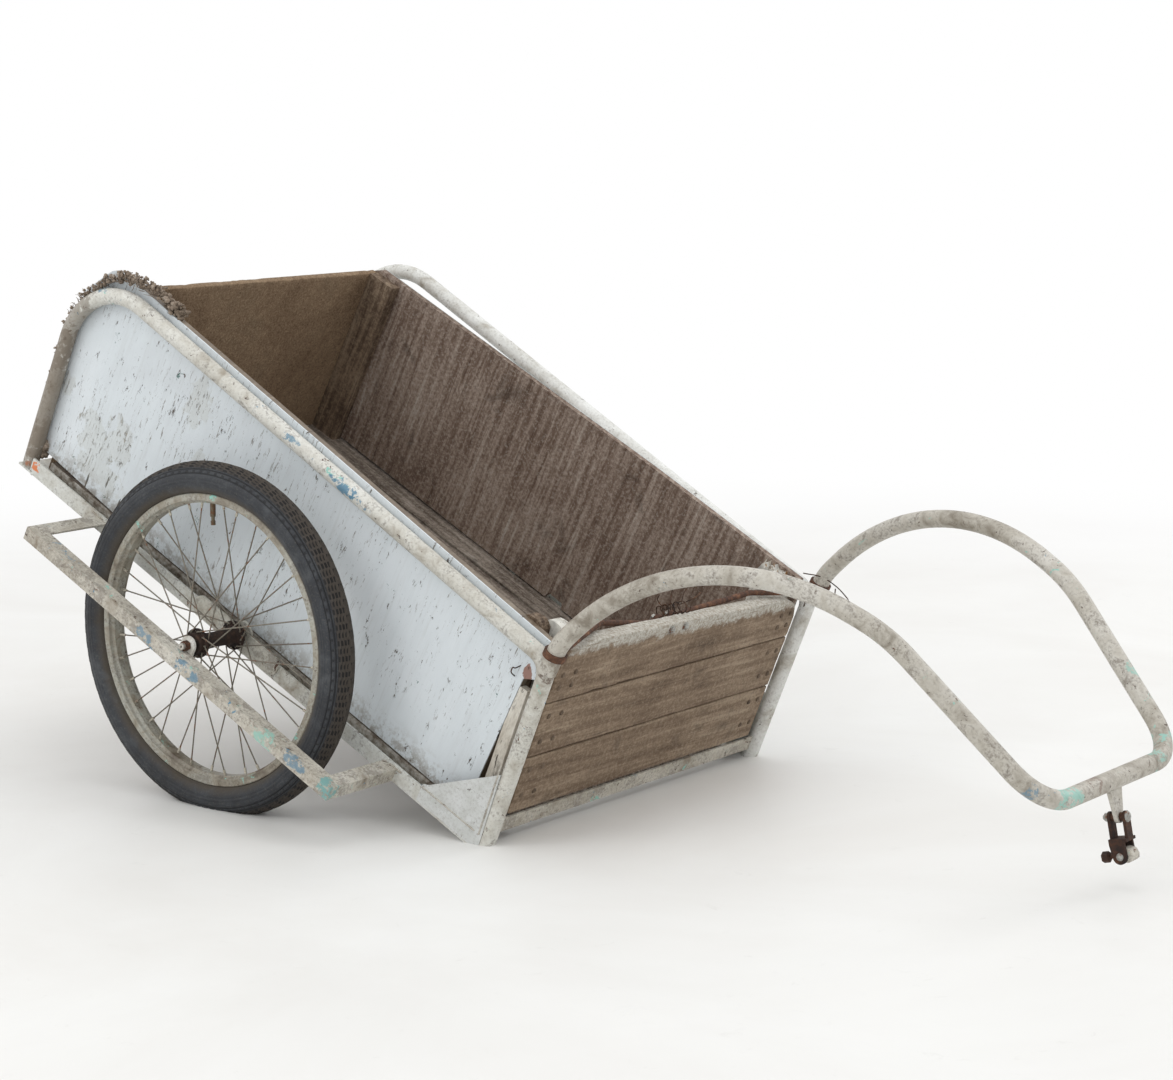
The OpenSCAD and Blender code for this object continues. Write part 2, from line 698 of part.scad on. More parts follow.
// Corner posts stand on the floor. The front ones lean with the planks they hold.
module post_profile(x0, w, z1, r) {
    z0 = floor_top + 0.5;
    translate([x0, z0]) square([w, z1 - r - z0]);
    translate([x0 + r, z1 - r]) circle(r = r);
    translate([x0 + w - r, z1 - r]) circle(r = r);
    translate([x0 + r, z1 - 2 * r]) square([w - 2 * r, 2 * r]);
}

module floor_clear() {
    difference() {
        children();
        translate([-200, -400, -100]) cube([400, 800, 100 + floor_top]);
    }
}

module post_front_right_outer() {
    color("white") parked() floor_clear() mirror([0, 1, 0]) leaning() side_plate(panel_in - post_t, post_t)
        post_profile(-front_t - 60, 38, rail_h_front + 33, 16);
}

module post_front_right_inner() {
    color("white") parked() floor_clear() mirror([0, 1, 0]) leaning() side_plate(panel_in - 2 * post_t - 2, post_t + 2)
        post_profile(-front_t - 36, 36, rail_h_front + 34, 15);
}

module post_front_left() {
    color("white") parked() floor_clear() leaning() side_plate(panel_in - post_t, post_t)
        polygon([[-front_t, 10], [-front_t, rail_h_front + 14], [-front_t - 14, rail_h_front + 12],
                 [-front_t - 18, rail_h_front + 20], [-front_t - 30, rail_h_front + 19],
                 [-front_t - 36, rail_h_front + 25], [-front_t - 44, rail_h_front + 17],
                 [-front_t - 50, rail_h_front + 22], [-front_t - 56, rail_h_front + 8], [-front_t - 56, 10]]);
}

module posts_rear() {
    color("#7a6654") parked() both_sides()
        translate([rear_x + rear_t, panel_in - post_t, floor_top]) cube([50, post_t, rear_top - floor_top - 2]);
}

module battens() {
    z1 = rail_h_front - 59;
    color("white") parked() both_sides() leaning() side_plate(panel_in + 0.5, panel_t - 0.5)
        polygon([[-front_t - 23, front_z0], [-front_t - 23, z1 - 60], [-front_t - 17.5, z1], [-front_t - 4, z1],
                 [-front_t - 4, front_z0]]);
}

// ---- drawbow ------------------------------------------------------------------------------------------
module drawbow() {
    color("ivory") parked() difference() {
        tube_run(bow_pts, bow_bends, bow_r, bow_ri);
        both_sides() front_corner(run);
    }
}

// Rusty tie: a band round the drawbow's foot and a rod over the planks' corner to a bolted eye.
band_z = top_front[1] + 17;
band_t = 3.5;
rod_r = 4.2;
tie_x = -front_t - rod_r - 0.6;

function lean_pt(x, y, z) = [x * cos(front_lean_a) - z * sin(front_lean_a), y,
                            x * sin(front_lean_a) + z * cos(front_lean_a)];

module tie_rod(s, y_eye, z_corner) {
    foot = [bow_x0, s * bow_y0, band_z];
    p0 = foot - [0, s * (bow_r + 1.6), 0];
    p1 = lean_pt(-10, s * (plank_y - 47), z_corner);
    p2 = lean_pt(tie_x - 1, s * (plank_y - 107), z_corner);
    p3 = lean_pt(tie_x, y_eye + s * 44, tie_z + 3);
    p4 = lean_pt(tie_x, y_eye + s * 8, tie_z);
    color("saddlebrown") parked() {
        translate(foot) difference() {
            translate([0, 0, -4.6]) cylinder(r = bow_r + band_t, h = 9.2);
            translate([0, 0, -5.6]) cylinder(r = bow_r + run, h = 11.2);
        }
        difference() {
            tube_run([p0, p1, p2, p3, p4], [24, 24, 40], rod_r, 0);
            leaning() translate([tie_x - 20, y_eye, tie_z]) rotate([0, 90, 0]) cylinder(r = 7, h = 40);
        }
        leaning() translate([tie_x - 3.5, y_eye, tie_z]) rotate([0, 90, 0]) difference() {
            cylinder(r = 9, h = 7);
            translate([0, 0, -1]) cylinder(r = 3.2, h = 9);
        }
    }
}

module tie_rod_right() { tie_rod(-1, tie_ys[0], rail_h_front + 25); }
module tie_rod_left() { tie_rod(1, tie_ys[1], rail_h_front + 10); }

module tie_bolts() {
    color("#b9b2a4") parked() leaning() for (y = tie_ys) translate([0, y, tie_z]) rotate([0, 90, 0]) {
        translate([0, 0, tie_x - 11]) cylinder(r = 3, h = -tie_x + 11.1);
        cylinder(r = 6, h = 1.4);
        translate([0, 0, 1.4]) intersection() {
            cylinder(r = 4.6, h = 4);
            translate([0, 0, -2]) sphere(r = 5.6);
        }
        translate([0, 0, tie_x - 9.4]) difference() {
            cylinder(d = 11.4, h = 5.6, $fn = 6);
            translate([0, 0, -1]) cylinder(r = 3 - 0.01, h = 8);
        }
    }
}

// ---- hitch ------------------------------------------------------------------------------------------
// Drawn about the pivot with z along the hitch; the lean tips it forwards from plumb.
module at_pivot() {
    translate(pivot_p - [origin_x, 0, 0]) rotate([0, -hitch_lean, 0]) children();
}

module hitch_tab() {
    color("gainsboro") difference() {
        at_pivot() cross_plate(-tab_t / 2, tab_t)
            polygon(concat([[15.5, tab_l - 14], [17.5, tab_l - 2], [-17.5, tab_l - 2], [-15.5, tab_l - 14]],
                           [for (a = [190:10:350]) 8 * [cos(a), sin(a)]]));
        at_pivot() translate([-20, 0, 0]) rotate([0, 90, 0]) cylinder(r = bolt_r + run, h = 40);
        at_pivot() translate([0, 0, tab_l]) bar_y(bow_r + run, -40, 40);
    }
}

bridge_z = -27;

module hitch_clevis() {
    color("#4d3b30") at_pivot() difference() {
        union() {
            for (m = [0, 1]) mirror([m, 0, 0]) cross_plate(fork_in, fork_t) {
                circle(r = fork_w / 2);
                translate([-fork_w / 2, bridge_z - 4]) square([fork_w, -bridge_z + 4]);
            }
            translate([-fork_in - 0.01, -fork_w / 2, bridge_z - 4]) cube([2 * fork_in + 0.02, fork_w, 4]);
            for (m = [0, 1]) mirror([0, m, 0]) side_plate(cheek_in, cheek_t) {
                translate([0, -hitch_drop]) circle(r = 10);
                polygon([[-10, -hitch_drop], [-fork_in - fork_t, bridge_z - 8], [-fork_in - fork_t, bridge_z],
                         [fork_in, bridge_z], [10, -hitch_drop]]);
            }
            translate([-fork_in - fork_t, -cheek_in - cheek_t, bridge_z - 4])
                cube([2 * (fork_in + fork_t), 2 * (cheek_in + cheek_t), 4]);
        }
        translate([-20, 0, 0]) rotate([0, 90, 0]) cylinder(r = bolt_r + run, h = 40);
        translate([0, 0, -hitch_drop]) bar_y(bolt_r + run, -20, 20);
    }
}

module dome(r, h) {
    intersection() {
        cylinder(r = r, h = h + 1);
        translate([0, 0, h - (r * r + h * h) / (2 * h)]) sphere(r = (r * r + h * h) / (2 * h));
    }
}

module hitch_pivot_bolt() {
    reach = fork_in + fork_t;
    color("gray") at_pivot() rotate([0, 90, 0]) {
        translate([0, 0, -reach - 8]) cylinder(r = bolt_r, h = 2 * reach + 8.2);
        translate([0, 0, reach + 0.1]) dome(7.6, 4.2);
        translate([0, 0, -reach - 5.6]) cylinder(d = 11.4, h = 5.5, $fn = 6);
    }
}

module hitch_spacers() {
    color("#7a4a2c") at_pivot() for (m = [0, 1]) mirror([m, 0, 0]) rotate([0, 90, 0])
        translate([0, 0, tab_t / 2 + 0.15]) difference() {
            cylinder(r = 5.6, h = fork_in - tab_t / 2 - 0.3);
            translate([0, 0, -1]) cylinder(r = bolt_r + run, h = 10);
        }
}

module at_swivel() {
    at_pivot() translate([0, 0, -hitch_drop]) children();
}

module screw_line() {
    rotate([0, -90 - screw_tilt, 0]) children();
}

module swivel_block() {
    color("gainsboro") at_swivel() difference() {
        side_plate(-cheek_in + 0.25, 2 * cheek_in - 0.5) {
            circle(r = block_r);
            polygon([[0, -block_r], [11, -8], [16, -5], [17, 1], [14, 8], [6, 11], [-4, 11], [-8, 4]]);
        }
        bar_y(bolt_r + run, -20, 20);
        screw_line() translate([0, 0, screw_in - 0.3]) cylinder(r = screw_r + run, h = 40);
    }
}

module swivel_bolt() {
    reach = cheek_in + cheek_t;
    color("gray") at_swivel() {
        bar_y(bolt_r, -reach - 0.1, reach + 7);
        translate([0, -reach - 0.1, 0]) rotate([90, 0, 0]) dome(5.2, 3.2);
        hex_y(9.8, reach + 0.1, reach + 5.4);
    }
}

module clamp_screw() {
    color("#4a3428") at_swivel() screw_line() {
        translate([0, 0, screw_in]) cylinder(r = screw_r, h = 20);
        translate([0, 0, 21.4]) cylinder(d = 15, h = 8.6, $fn = 6);
        translate([0, 0, 19.8]) cylinder(r1 = 4.5, r2 = 6.2, h = 1.6);
    }
}

side_tube_right();
side_tube_left();
bottom_rail_right();
bottom_rail_left();
gussets();
cross_member_front();
cross_member_mid();
cross_member_rear();
outrigger_right();
outrigger_left();
axle_brackets();
axle_plates();
axle_right();
axle_left();
axle_cones();
axle_nuts();
hub_right();
hub_left();
hub_balls_right();
hub_balls_left();
spokes_right();
spokes_left();
nipples_right();
nipples_left();
rim_right();
rim_left();
tyre_right();
tyre_left();
inner_tube_right();
inner_tube_left();
valve_right();
valve_left();
panel_right();
panel_left();
front_plank_low();
front_plank_mid();
front_plank_top();
rear_board();
floor_planks_wide();
floor_plank_edge();
post_front_right_outer();
post_front_right_inner();
post_front_left();
posts_rear();
battens();
plank_screws();
drawbow();
tie_rod_right();
tie_rod_left();
tie_bolts();
hitch_tab();
hitch_clevis();
hitch_pivot_bolt();
hitch_spacers();
swivel_block();
swivel_bolt();
clamp_screw();
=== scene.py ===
import bpy, math, random
from mathutils import Matrix, Vector, noise as pn


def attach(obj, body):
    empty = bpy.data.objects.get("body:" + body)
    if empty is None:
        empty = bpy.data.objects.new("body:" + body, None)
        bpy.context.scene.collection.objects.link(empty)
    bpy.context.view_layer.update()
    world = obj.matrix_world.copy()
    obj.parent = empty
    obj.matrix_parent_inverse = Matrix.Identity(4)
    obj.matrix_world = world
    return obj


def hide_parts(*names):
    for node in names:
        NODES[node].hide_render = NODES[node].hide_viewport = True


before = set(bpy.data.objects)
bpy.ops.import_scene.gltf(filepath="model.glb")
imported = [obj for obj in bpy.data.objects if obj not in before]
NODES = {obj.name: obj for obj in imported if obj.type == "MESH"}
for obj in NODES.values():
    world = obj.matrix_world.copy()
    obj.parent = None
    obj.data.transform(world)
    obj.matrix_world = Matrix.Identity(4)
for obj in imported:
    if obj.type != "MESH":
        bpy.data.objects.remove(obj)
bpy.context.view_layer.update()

# ---- the level frame that the box is laid out in: millimetres, x forwards, z up from the rail ----
TILT = math.radians(27.420699)
OX, LIFT = -38.6037, -12.9597
CT, ST = math.cos(TILT), math.sin(TILT)
LEAN = math.atan2(26, 297)
CL, SL = math.cos(LEAN), math.sin(LEAN)
PANEL_IN = 295.7
PLANK_Y = 293.7
PLANK_T = 22
TOP_LOW, TOP_HIGH = 230, 317
FLOOR_HALF = 307.7
REAR_X = -975.0
REAR_T = 12
FLOOR_START = 12.3
AXLE = (-498.0, 388.0, 28.3)

# tyre section: radii, half width and the height of the axle over the flat, in millimetres
TYRE_R, RIM_R, HALF_W, DROP = 253.0, 209.0, 25.0, 241.5
SECT_R = (TYRE_R - RIM_R + 6) / 2
SECT_C = TYRE_R - SECT_R
SAG_FROM, SAG_SPAN, SAG_WIDEN = 205, 48, 0.10

# tread: teeth round the wheel, the angle on the section where it starts and the width of a lane, in degrees
TEETH, TREAD_FROM, LANE = 72, 49, 6
TOOTH_STEPS = 6
RIBS = {22: -0.8, 25: -1.5, 28: -0.6, 31: -0.3, 37: -1.0, 40: -2.0, 43: -1.6, 46: -0.5, 4: -0.7, -8: -0.8}
DEGREES = 57.2958

# places on the boards where a paint starts and is full, in metres
FAR_FACE = (0.3060, 0.3070)
FLOOR_EDGE = (-0.3030, -0.3042)
PANEL_INSIDE = (-0.3050, -0.3040)
STRIP_SLOPE, STRIP_Z = 0.0388, (0.2865, 0.2965)

WOOD_ROUGH = 0.82
BEAD_PITCH = 0.0035
BEVEL_ANGLE = math.radians(40)
BEND_POINTS = 52
STUDIO, FADE = 14.0, (1.5, 3.4)


def row(p):
    x, y, z = p
    return Vector(((x * CT + z * ST - OX) / 1000, y / 1000, (-x * ST + z * CT + LIFT) / 1000))


def lean(p):
    x, y, z = p
    return (x * CL - z * SL, y, x * SL + z * CL)


def lean_row(p):
    return row(lean(p))


# ---- shader helpers ------------------------------------------------------------------------------
def lin(r, g, b):
    return tuple((c / 255 / 12.92) if c <= 10 else ((c / 255 + 0.055) / 1.055) ** 2.4
                 for c in (r, g, b)) + (1.0,)


class Mat:
    """A node material with its coordinates in the level frame, in metres."""

    def __init__(self, name):
        self.m = bpy.data.materials.new(name)
        self.m.use_nodes = True
        self.nt = self.m.node_tree
        self.bsdf = self.nt.nodes["Principled BSDF"]
        self.tc = self.add("TexCoord").outputs["Object"]
        o = row((0, 0, 0))
        inv = Matrix.Rotation(-TILT, 3, "Y")
        off = -(inv @ o)
        self.P = self.add("Mapping", ins={"Vector": self.tc, "Location": off,
                                          "Rotation": (0, -TILT, 0)}).outputs[0]

    def add(self, kind, ins=None, **props):
        n = self.nt.nodes.new("ShaderNode" + kind)
        for k, v in props.items():
            setattr(n, k, v)
        for k, v in (ins or {}).items():
            if isinstance(v, bpy.types.NodeSocket):
                self.nt.links.new(v, n.inputs[k])
            else:
                n.inputs[k].default_value = v
        return n

    def scaled(self, s, p=None, loc=(0, 0, 0)):
        return self.add("Mapping", ins={"Vector": p or self.P, "Scale": s, "Location": loc}).outputs[0]

    def noise(self, scale, detail=4, rough=0.55, dist=0.0, p=None):
        return self.add("TexNoise", ins={"Vector": p or self.P, "Scale": scale, "Detail": detail,
                                         "Roughness": rough, "Distortion": dist}).outputs[0]

    def cells(self, scale):
        return self.add("TexVoronoi", ins={"Vector": self.P, "Scale": scale}).outputs[0]

    def ramp(self, fac, stops):
        n = self.add("ValToRGB", ins={"Fac": fac})
        e = n.color_ramp.elements
        while len(e) < len(stops):
            e.new(0.5)
        for i, (pos, col) in enumerate(stops):
            e[i].position = pos
            e[i].color = col if len(col) == 4 else tuple(col) + (1.0,)
        return n.outputs[0]

    def math(self, op, a, b=0.5, clamp=False):
        return self.add("Math", ins={0: a, 1: b}, operation=op, use_clamp=clamp).outputs[0]

    def plus(self, a, b, clamp=False):
        return self.math("ADD", a, b, clamp)

    def minus(self, a, b, clamp=False):
        return self.math("SUBTRACT", a, b, clamp)

    def times(self, a, b):
        return self.math("MULTIPLY", a, b)

    def step(self, fac, lo, hi):
        return self.add("MapRange", ins={"Value": fac, "From Min": lo, "From Max": hi, "To Min": 0.0,
                                         "To Max": 1.0},
                        interpolation_type="SMOOTHSTEP").outputs[0]

    def mix(self, fac, a, b):
        n = self.add("Mix", data_type="RGBA")
        for k, v in ((0, fac), (6, a), (7, b)):
            if isinstance(v, bpy.types.NodeSocket):
                self.nt.links.new(v, n.inputs[k])
            else:
                n.inputs[k].default_value = v
        return n.outputs[2]

    def near(self, centre, radius, wobble=0.6, scale=60, size=(1, 1, 1)):
        """1 inside a ragged spot about a level-frame point in millimetres, 0 outside."""
        c = Vector(centre) / 1000
        q = self.add("VectorMath", ins={0: self.P, 1: c}, operation="SUBTRACT").outputs[0]
        q = self.add("VectorMath", ins={0: q, 1: tuple(1 / s for s in size)},
                     operation="MULTIPLY").outputs[0]
        d = self.add("VectorMath", ins={0: q}, operation="LENGTH").outputs["Value"]
        d = self.math("DIVIDE", d, radius / 1000)
        d = self.plus(d, self.times(self.minus(self.noise(scale, 5, 0.65), 0.5), wobble * 3))
        return self.step(d, 1.05, 0.85)

    def split(self, p=None):
        n = self.add("SeparateXYZ", ins={0: p or self.P})
        return n.outputs

    def bump(self, h, dist, strength=1.0):
        return self.add("Bump", ins={"Height": h, "Distance": dist, "Strength": strength}).outputs[0]

    def done(self, color, rough, normal=None, metallic=0.0, spec=None):
        b = self.bsdf.inputs
        self.nt.links.new(color, b["Base Color"])
        if isinstance(rough, bpy.types.NodeSocket):
            self.nt.links.new(rough, b["Roughness"])
        else:
            b["Roughness"].default_value = rough
        if isinstance(metallic, bpy.types.NodeSocket):
            self.nt.links.new(metallic, b["Metallic"])
        else:
            b["Metallic"].default_value = metallic
        if spec is not None:
            b["Specular IOR Level"].default_value = spec
        if normal:
            self.nt.links.new(normal, b["Normal"])
        return self.m


RUST = lin(92, 52, 30)
RUST_HI = lin(168, 96, 48)
GRIME = lin(96, 84, 70)
BLUE = lin(86, 128, 152)
MINT = lin(138, 190, 178)


def painted(name, light, mid, dark, grime=0.35, chips=0.5, rust=0.4, seed=0.0, stretch=(1, 1, 1), spots=(),
            flecks=()):
    """Old brushed paint: mottled coats, grime, chips down to rust and spots of older colours."""
    m = Mat(name)
    p = m.scaled(stretch, loc=(seed, seed * 0.7, -seed))
    big = m.noise(6, 5, 0.6, 0.4, p)
    mid_n = m.noise(38, 6, 0.62, 0.6, p)
    fine = m.noise(260, 5, 0.7, 0, p)
    col = m.ramp(m.plus(m.times(big, 0.5), m.times(mid_n, 0.5)),
                 [(0.36, dark), (0.47, mid), (0.6, light)])
    col = m.mix(m.times(m.step(fine, 0.45, 0.72), 0.28), col, GRIME)
    dirt = m.step(m.plus(m.times(mid_n, 0.65), m.times(fine, 0.35)), 0.66 - grime * 0.3, 0.80 - grime * 0.3)
    col = m.mix(m.times(dirt, 0.62), col, GRIME)
    old = m.step(m.noise(21, 7, 0.75, 0.8, m.scaled((1, 1, 1), p, (3.1, 1.7, 5.3))), 0.672 - 0.03 * chips,
                 0.682 - 0.03 * chips)
    for i, (c, s, t) in enumerate(flecks):
        f = m.step(m.noise(s * 2, 7, 0.74, 0.5, m.scaled((1, 1, 1), p, (9.7 + i * 4.3, -2.2 * i, 1.9))),
                   t - 0.07, t - 0.055)
        col = m.mix(f, col, c)
    chipn = m.noise(90, 8, 0.78, 0.3, m.scaled((1, 1, 1), p, (1.3, 8.1, 2.2)))
    chip = m.step(chipn, 0.645 - 0.035 * chips, 0.656 - 0.035 * chips)
    chip = m.math("MAXIMUM", chip, old)
    metal = m.ramp(m.noise(150, 6, 0.7, 0, p), [(0.35, lin(48, 34, 26)), (0.55, RUST), (0.7, RUST_HI)])
    metal = m.mix(rust, lin(78, 72, 64), metal)
    col = m.mix(chip, col, metal)
    broken = m.step(m.noise(75, 7, 0.75, 0.5, m.scaled((1, 1, 1), p, (4, 4, 4))), 0.47, 0.50)
    for centre, radius, c, k, size in spots:
        f = m.near(centre, radius, 0.9, 55, size)
        if radius < 40:
            f = m.times(f, broken)
        col = m.mix(m.times(f, k), col, c)
    rough = m.plus(m.times(mid_n, 0.3), m.times(chip, 0.3))
    rough = m.plus(rough, 0.34, clamp=True)
    h = m.minus(m.plus(m.times(mid_n, 0.7), m.times(fine, 0.35)), m.times(chip, 0.5))
    return m.done(col, rough, m.bump(h, 0.0007, 0.8))


def wood(name, cols, axis, seed=0.0, groove=1.0, ring=28.0, dirt=0.4, paint=None, spots=(), blotch=0.5,
         cracks=0.5, edge=None, strip=None, outer=None):
    """Weathered boards: grain along one axis, with dark cracks, stains and left-over paint."""
    m = Mat(name)
    along, across = 5.0, 105.0
    s = [across] * 3
    s[axis] = along
    p = m.scaled(tuple(s), loc=(seed, -seed, seed * 0.6))
    g1 = m.noise(1.0, 7, 0.62, 1.1, p)
    s2 = [across * 6] * 3
    s2[axis] = along * 3
    g2 = m.noise(1.0, 5, 0.7, 0.2, m.scaled(tuple(s2), loc=(seed * 2, 1, seed)))
    s3 = [ring] * 3
    s3[axis] = ring * 0.055
    w = m.add("TexWave", ins={"Vector": m.scaled(tuple(s3), loc=(seed, seed, 0)), "Scale": 1.0,
                              "Distortion": 5.5, "Detail": 3.0,
                              "Detail Scale": 1.2}, wave_type="BANDS",
                              bands_direction="DIAGONAL").outputs["Fac"]
    big = m.noise(7, 4, 0.6, 0.6)
    v = m.plus(m.times(g1, 0.5), m.times(g2, 0.3))
    v = m.plus(v, m.plus(m.times(w, 0.08), 0.04))
    v = m.plus(v, m.times(m.minus(big, 0.5), blotch))
    col = m.ramp(v, [(0.28, cols[0]), (0.42, cols[1]), (0.54, cols[2]), (0.68, cols[3])])
    speck = m.noise(190, 6, 0.8)
    col = m.mix(m.times(m.step(speck, 0.50, 0.60), 0.42), col, cols[0])
    col = m.mix(m.times(m.step(speck, 0.49, 0.40), 0.40), col, cols[3])
    crack = m.step(m.noise(1.0, 6, 0.6, 0.6, m.scaled(tuple(c * 2.2 for c in s), loc=(seed * 3, 2, seed))),
                   0.33, 0.28)
    col = m.mix(m.times(crack, cracks), col, lin(30, 24, 19))
    stain = m.step(m.noise(16, 6, 0.66, 0.5), 0.56, 0.70)
    col = m.mix(m.times(stain, dirt), col, lin(52, 42, 34))
    if paint:
        pcol, amount = paint
        pf = m.step(m.plus(m.times(m.noise(24, 8, 0.7, 0.4), 0.6), m.times(g2, 0.4)), 0.62 - amount * 0.3,
                    0.66 - amount * 0.3)
        col = m.mix(pf, col, m.ramp(m.noise(60, 4), [(0.3, tuple(c * 0.62 for c in pcol[:3])), (0.6, pcol)]))
    for centre, radius, c, k, size in spots:
        f = m.times(m.near(centre, radius, 0.6, 55, size), m.step(g2, 0.36, 0.56))
        col = m.mix(m.times(f, k), col, c)
    if strip:
        sy, sz = m.split()[1], m.split()[2]
        line = m.plus(m.plus(sz, m.times(sy, STRIP_SLOPE)), m.times(m.minus(m.noise(40, 7, 0.75), 0.5),
            0.055))
        f = m.times(m.step(line, *STRIP_Z), m.step(g2, 0.30, 0.46))
        col = m.mix(m.times(f, strip), col, m.ramp(speck, [(0.42, lin(150, 144, 132)),
            (0.56, lin(198, 196, 188))]))
    if outer:
        coat = m.ramp(m.plus(m.times(big, 0.6), m.times(g2, 0.4)),
                      [(0.38, lin(176, 180, 180)), (0.5, lin(208, 214, 217)), (0.62, lin(218, 224, 227))])
        coat = m.mix(m.step(m.noise(60, 9, 0.82), 0.612, 0.622), coat, lin(84, 68, 52))
        col = m.mix(m.step(m.split()[1], *FAR_FACE), col, coat)
    if edge:
        f = m.step(m.plus(m.split()[1], m.times(m.noise(90, 5), 0.004)), *FLOOR_EDGE)
        col = m.mix(m.times(f, 0.85), col, m.ramp(m.noise(80, 6, 0.7),
            [(0.38, lin(96, 84, 72)), (0.52, lin(160, 154, 144)), (0.64, lin(196, 194, 188))]))
    h = m.plus(m.times(g1, 0.7), m.plus(m.times(g2, 0.5), m.times(speck, 0.25)))
    rg = m.plus(m.times(g2, 0.2), WOOD_ROUGH - 0.1, clamp=True)
    return m.done(col, rg, m.bump(h, 0.0012 * groove, 0.9), spec=0.3)


def rusty(name, cols, seed=0.0, rough=0.78):
    """Rusted iron or dry dirt in four tones, darkest first."""
    m = Mat(name)
    p = m.scaled((1, 1, 1), loc=(seed, seed, seed))
    a = m.noise(120, 7, 0.7, 0.4, p)
    b = m.noise(34, 5, 0.6, 0.6, p)
    c = m.noise(620, 4, 0.7, 0, p)
    v = m.plus(m.times(a, 0.55), m.times(b, 0.45))
    col = m.ramp(v, [(0.36, cols[0]), (0.47, cols[1]), (0.56, cols[2]), (0.68, cols[3])])
    h = m.plus(a, m.times(c, 0.5))
    return m.done(col, m.plus(m.times(a, 0.25), rough - 0.12), m.bump(h, 0.0008, 0.9), metallic=0.25)


def steel(name, tone, rust=0.5, seed=0.0, metallic=0.75, rough=0.42):
    """Bare metal of one tone with rust over part of it."""
    m = Mat(name)
    p = m.scaled((1, 1, 1), loc=(seed, 0, seed))
    a = m.noise(85, 7, 0.7, 0.3, p)
    b = m.noise(420, 4, 0.7, 0, p)
    base = m.ramp(b, [(0.35, tuple(c * 0.55 for c in tone[:3])), (0.65, tone)])
    f = m.step(m.plus(m.times(a, 0.7), m.times(b, 0.3)), 0.60 - 0.22 * rust, 0.68 - 0.22 * rust)
    col = m.mix(f, base, m.ramp(a, [(0.4, lin(54, 36, 26)), (0.62, lin(124, 78, 50))]))
    r = m.plus(m.times(f, 0.38), m.times(b, 0.2))
    met = m.minus(metallic, m.times(f, metallic * 0.8), clamp=True)
    return m.done(col, m.plus(r, rough - 0.1), m.bump(m.plus(a, b), 0.0003, 0.8), metallic=met)


CREAM = (lin(214, 214, 208), lin(194, 192, 183), lin(152, 144, 130))
TUBE_FLECKS = ((BLUE, 17, 0.715), (MINT, 13, 0.705))
DIRTY = lin(112, 100, 86)
frame_paint = painted("frame_paint", *CREAM, grime=0.5, chips=0.75, rust=0.75, seed=1.0, flecks=TUBE_FLECKS,
                      spots=(
    ((-985, -330, 12), 7, lin(205, 112, 56), 0.9, (1, 1, 1)),
    ((-430, -332, 318), 15, BLUE, 0.95, (2.0, 1, 0.6)), ((-398, -332, 315), 10, BLUE, 0.8, (2.0, 1, 0.5)),
    ((-540, -331, 328), 9, BLUE, 0.8, (1.8, 1, 0.5)), ((-900, -330, 362), 16, BLUE, 0.8, (2.2, 1, 0.6)),
    ((-965, -330, 330), 14, BLUE, 0.8, (1, 1, 1)), ((-14, -330, 290), 16, lin(84, 60, 44), 0.7, (1, 1, 1)),
    ((-1000, -320, 120), 80, DIRTY, 0.75, (0.6, 1, 1.5)), ((-1004, -320, 240), 70, DIRTY, 0.6,
        (0.7, 1, 1.2)),
    ((-990, -320, 40), 50, DIRTY, 0.6, (0.8, 1, 1.0))))
far_paint = painted("far_paint", lin(226, 227, 224), lin(208, 208, 203), lin(166, 160, 148), grime=0.3,
                    chips=0.6, rust=0.6, seed=12.0,
                    flecks=((BLUE, 17, 0.73),))
rail_paint = painted("rail_paint", lin(208, 210, 206), lin(188, 187, 179), lin(142, 133, 118), grime=0.45,
                     chips=0.8, rust=0.7, seed=2.3,
                     flecks=((BLUE, 22, 0.74),),
                     spots=(((-966, -332, 16), 8, lin(205, 112, 56), 0.95, (1, 1, 1)),
                            ((-120, -332, 30), 12, RUST, 0.7, (1, 1, 1))))
gusset_paint = painted("gusset_paint", lin(204, 206, 205), lin(190, 192, 189), lin(160, 157, 149),
                       grime=0.25, chips=0.45, rust=0.6, seed=7.0)
outrig_paint = painted("outrigger_paint", lin(216, 213, 204), lin(188, 183, 171), lin(134, 123, 108),
                       grime=0.7, chips=0.85, rust=0.55, seed=3.1,
                       flecks=((BLUE, 18, 0.72), (MINT, 16, 0.70)), spots=(
    ((-176, -462, 14), 15, lin(110, 160, 158), 0.9, (1.2, 1, 1)), ((-470, -466, 10), 11, BLUE, 0.8,
        (2.4, 1, 1)),
    ((-300, -466, 10), 12, MINT, 0.8, (1.9, 1, 1)), ((-560, -466, 12), 10, BLUE, 0.7, (1.9, 1, 1)),
    ((-240, -466, 12), 9, BLUE, 0.7, (2, 1, 1))))
bow_paint = painted("drawbow_paint", lin(202, 199, 191), lin(180, 175, 164), lin(128, 120, 107), grime=0.55,
                    chips=0.8, rust=0.45, seed=4.4,
                    flecks=((MINT, 17, 0.72), (BLUE, 19, 0.74)), spots=(
    ((600, 178, 496), 20, MINT, 0.85, (1, 1, 1)), ((612, 120, 497), 13, MINT, 0.7, (1, 1.4, 1)),
    ((500, 214, 545), 13, MINT, 0.7, (1.4, 1, 1)),
    ((622, -130, 497), 18, MINT, 0.8, (1, 1.5, 1)), ((610, -60, 490), 18, RUST, 0.5, (1, 1.3, 1)),
    ((590, -186, 500), 12, BLUE, 0.7, (1, 1, 1)),
    ((10, -322, 240), 60, DIRTY, 0.6, (0.5, 1, 1.6)), ((4, -322, 120), 70, DIRTY, 0.45, (0.5, 1, 1.4)),
    ((10, 322, 240), 60, DIRTY, 0.7, (0.5, 1, 1.6)), ((4, 322, 120), 80, DIRTY, 0.6, (0.5, 1, 1.4))))
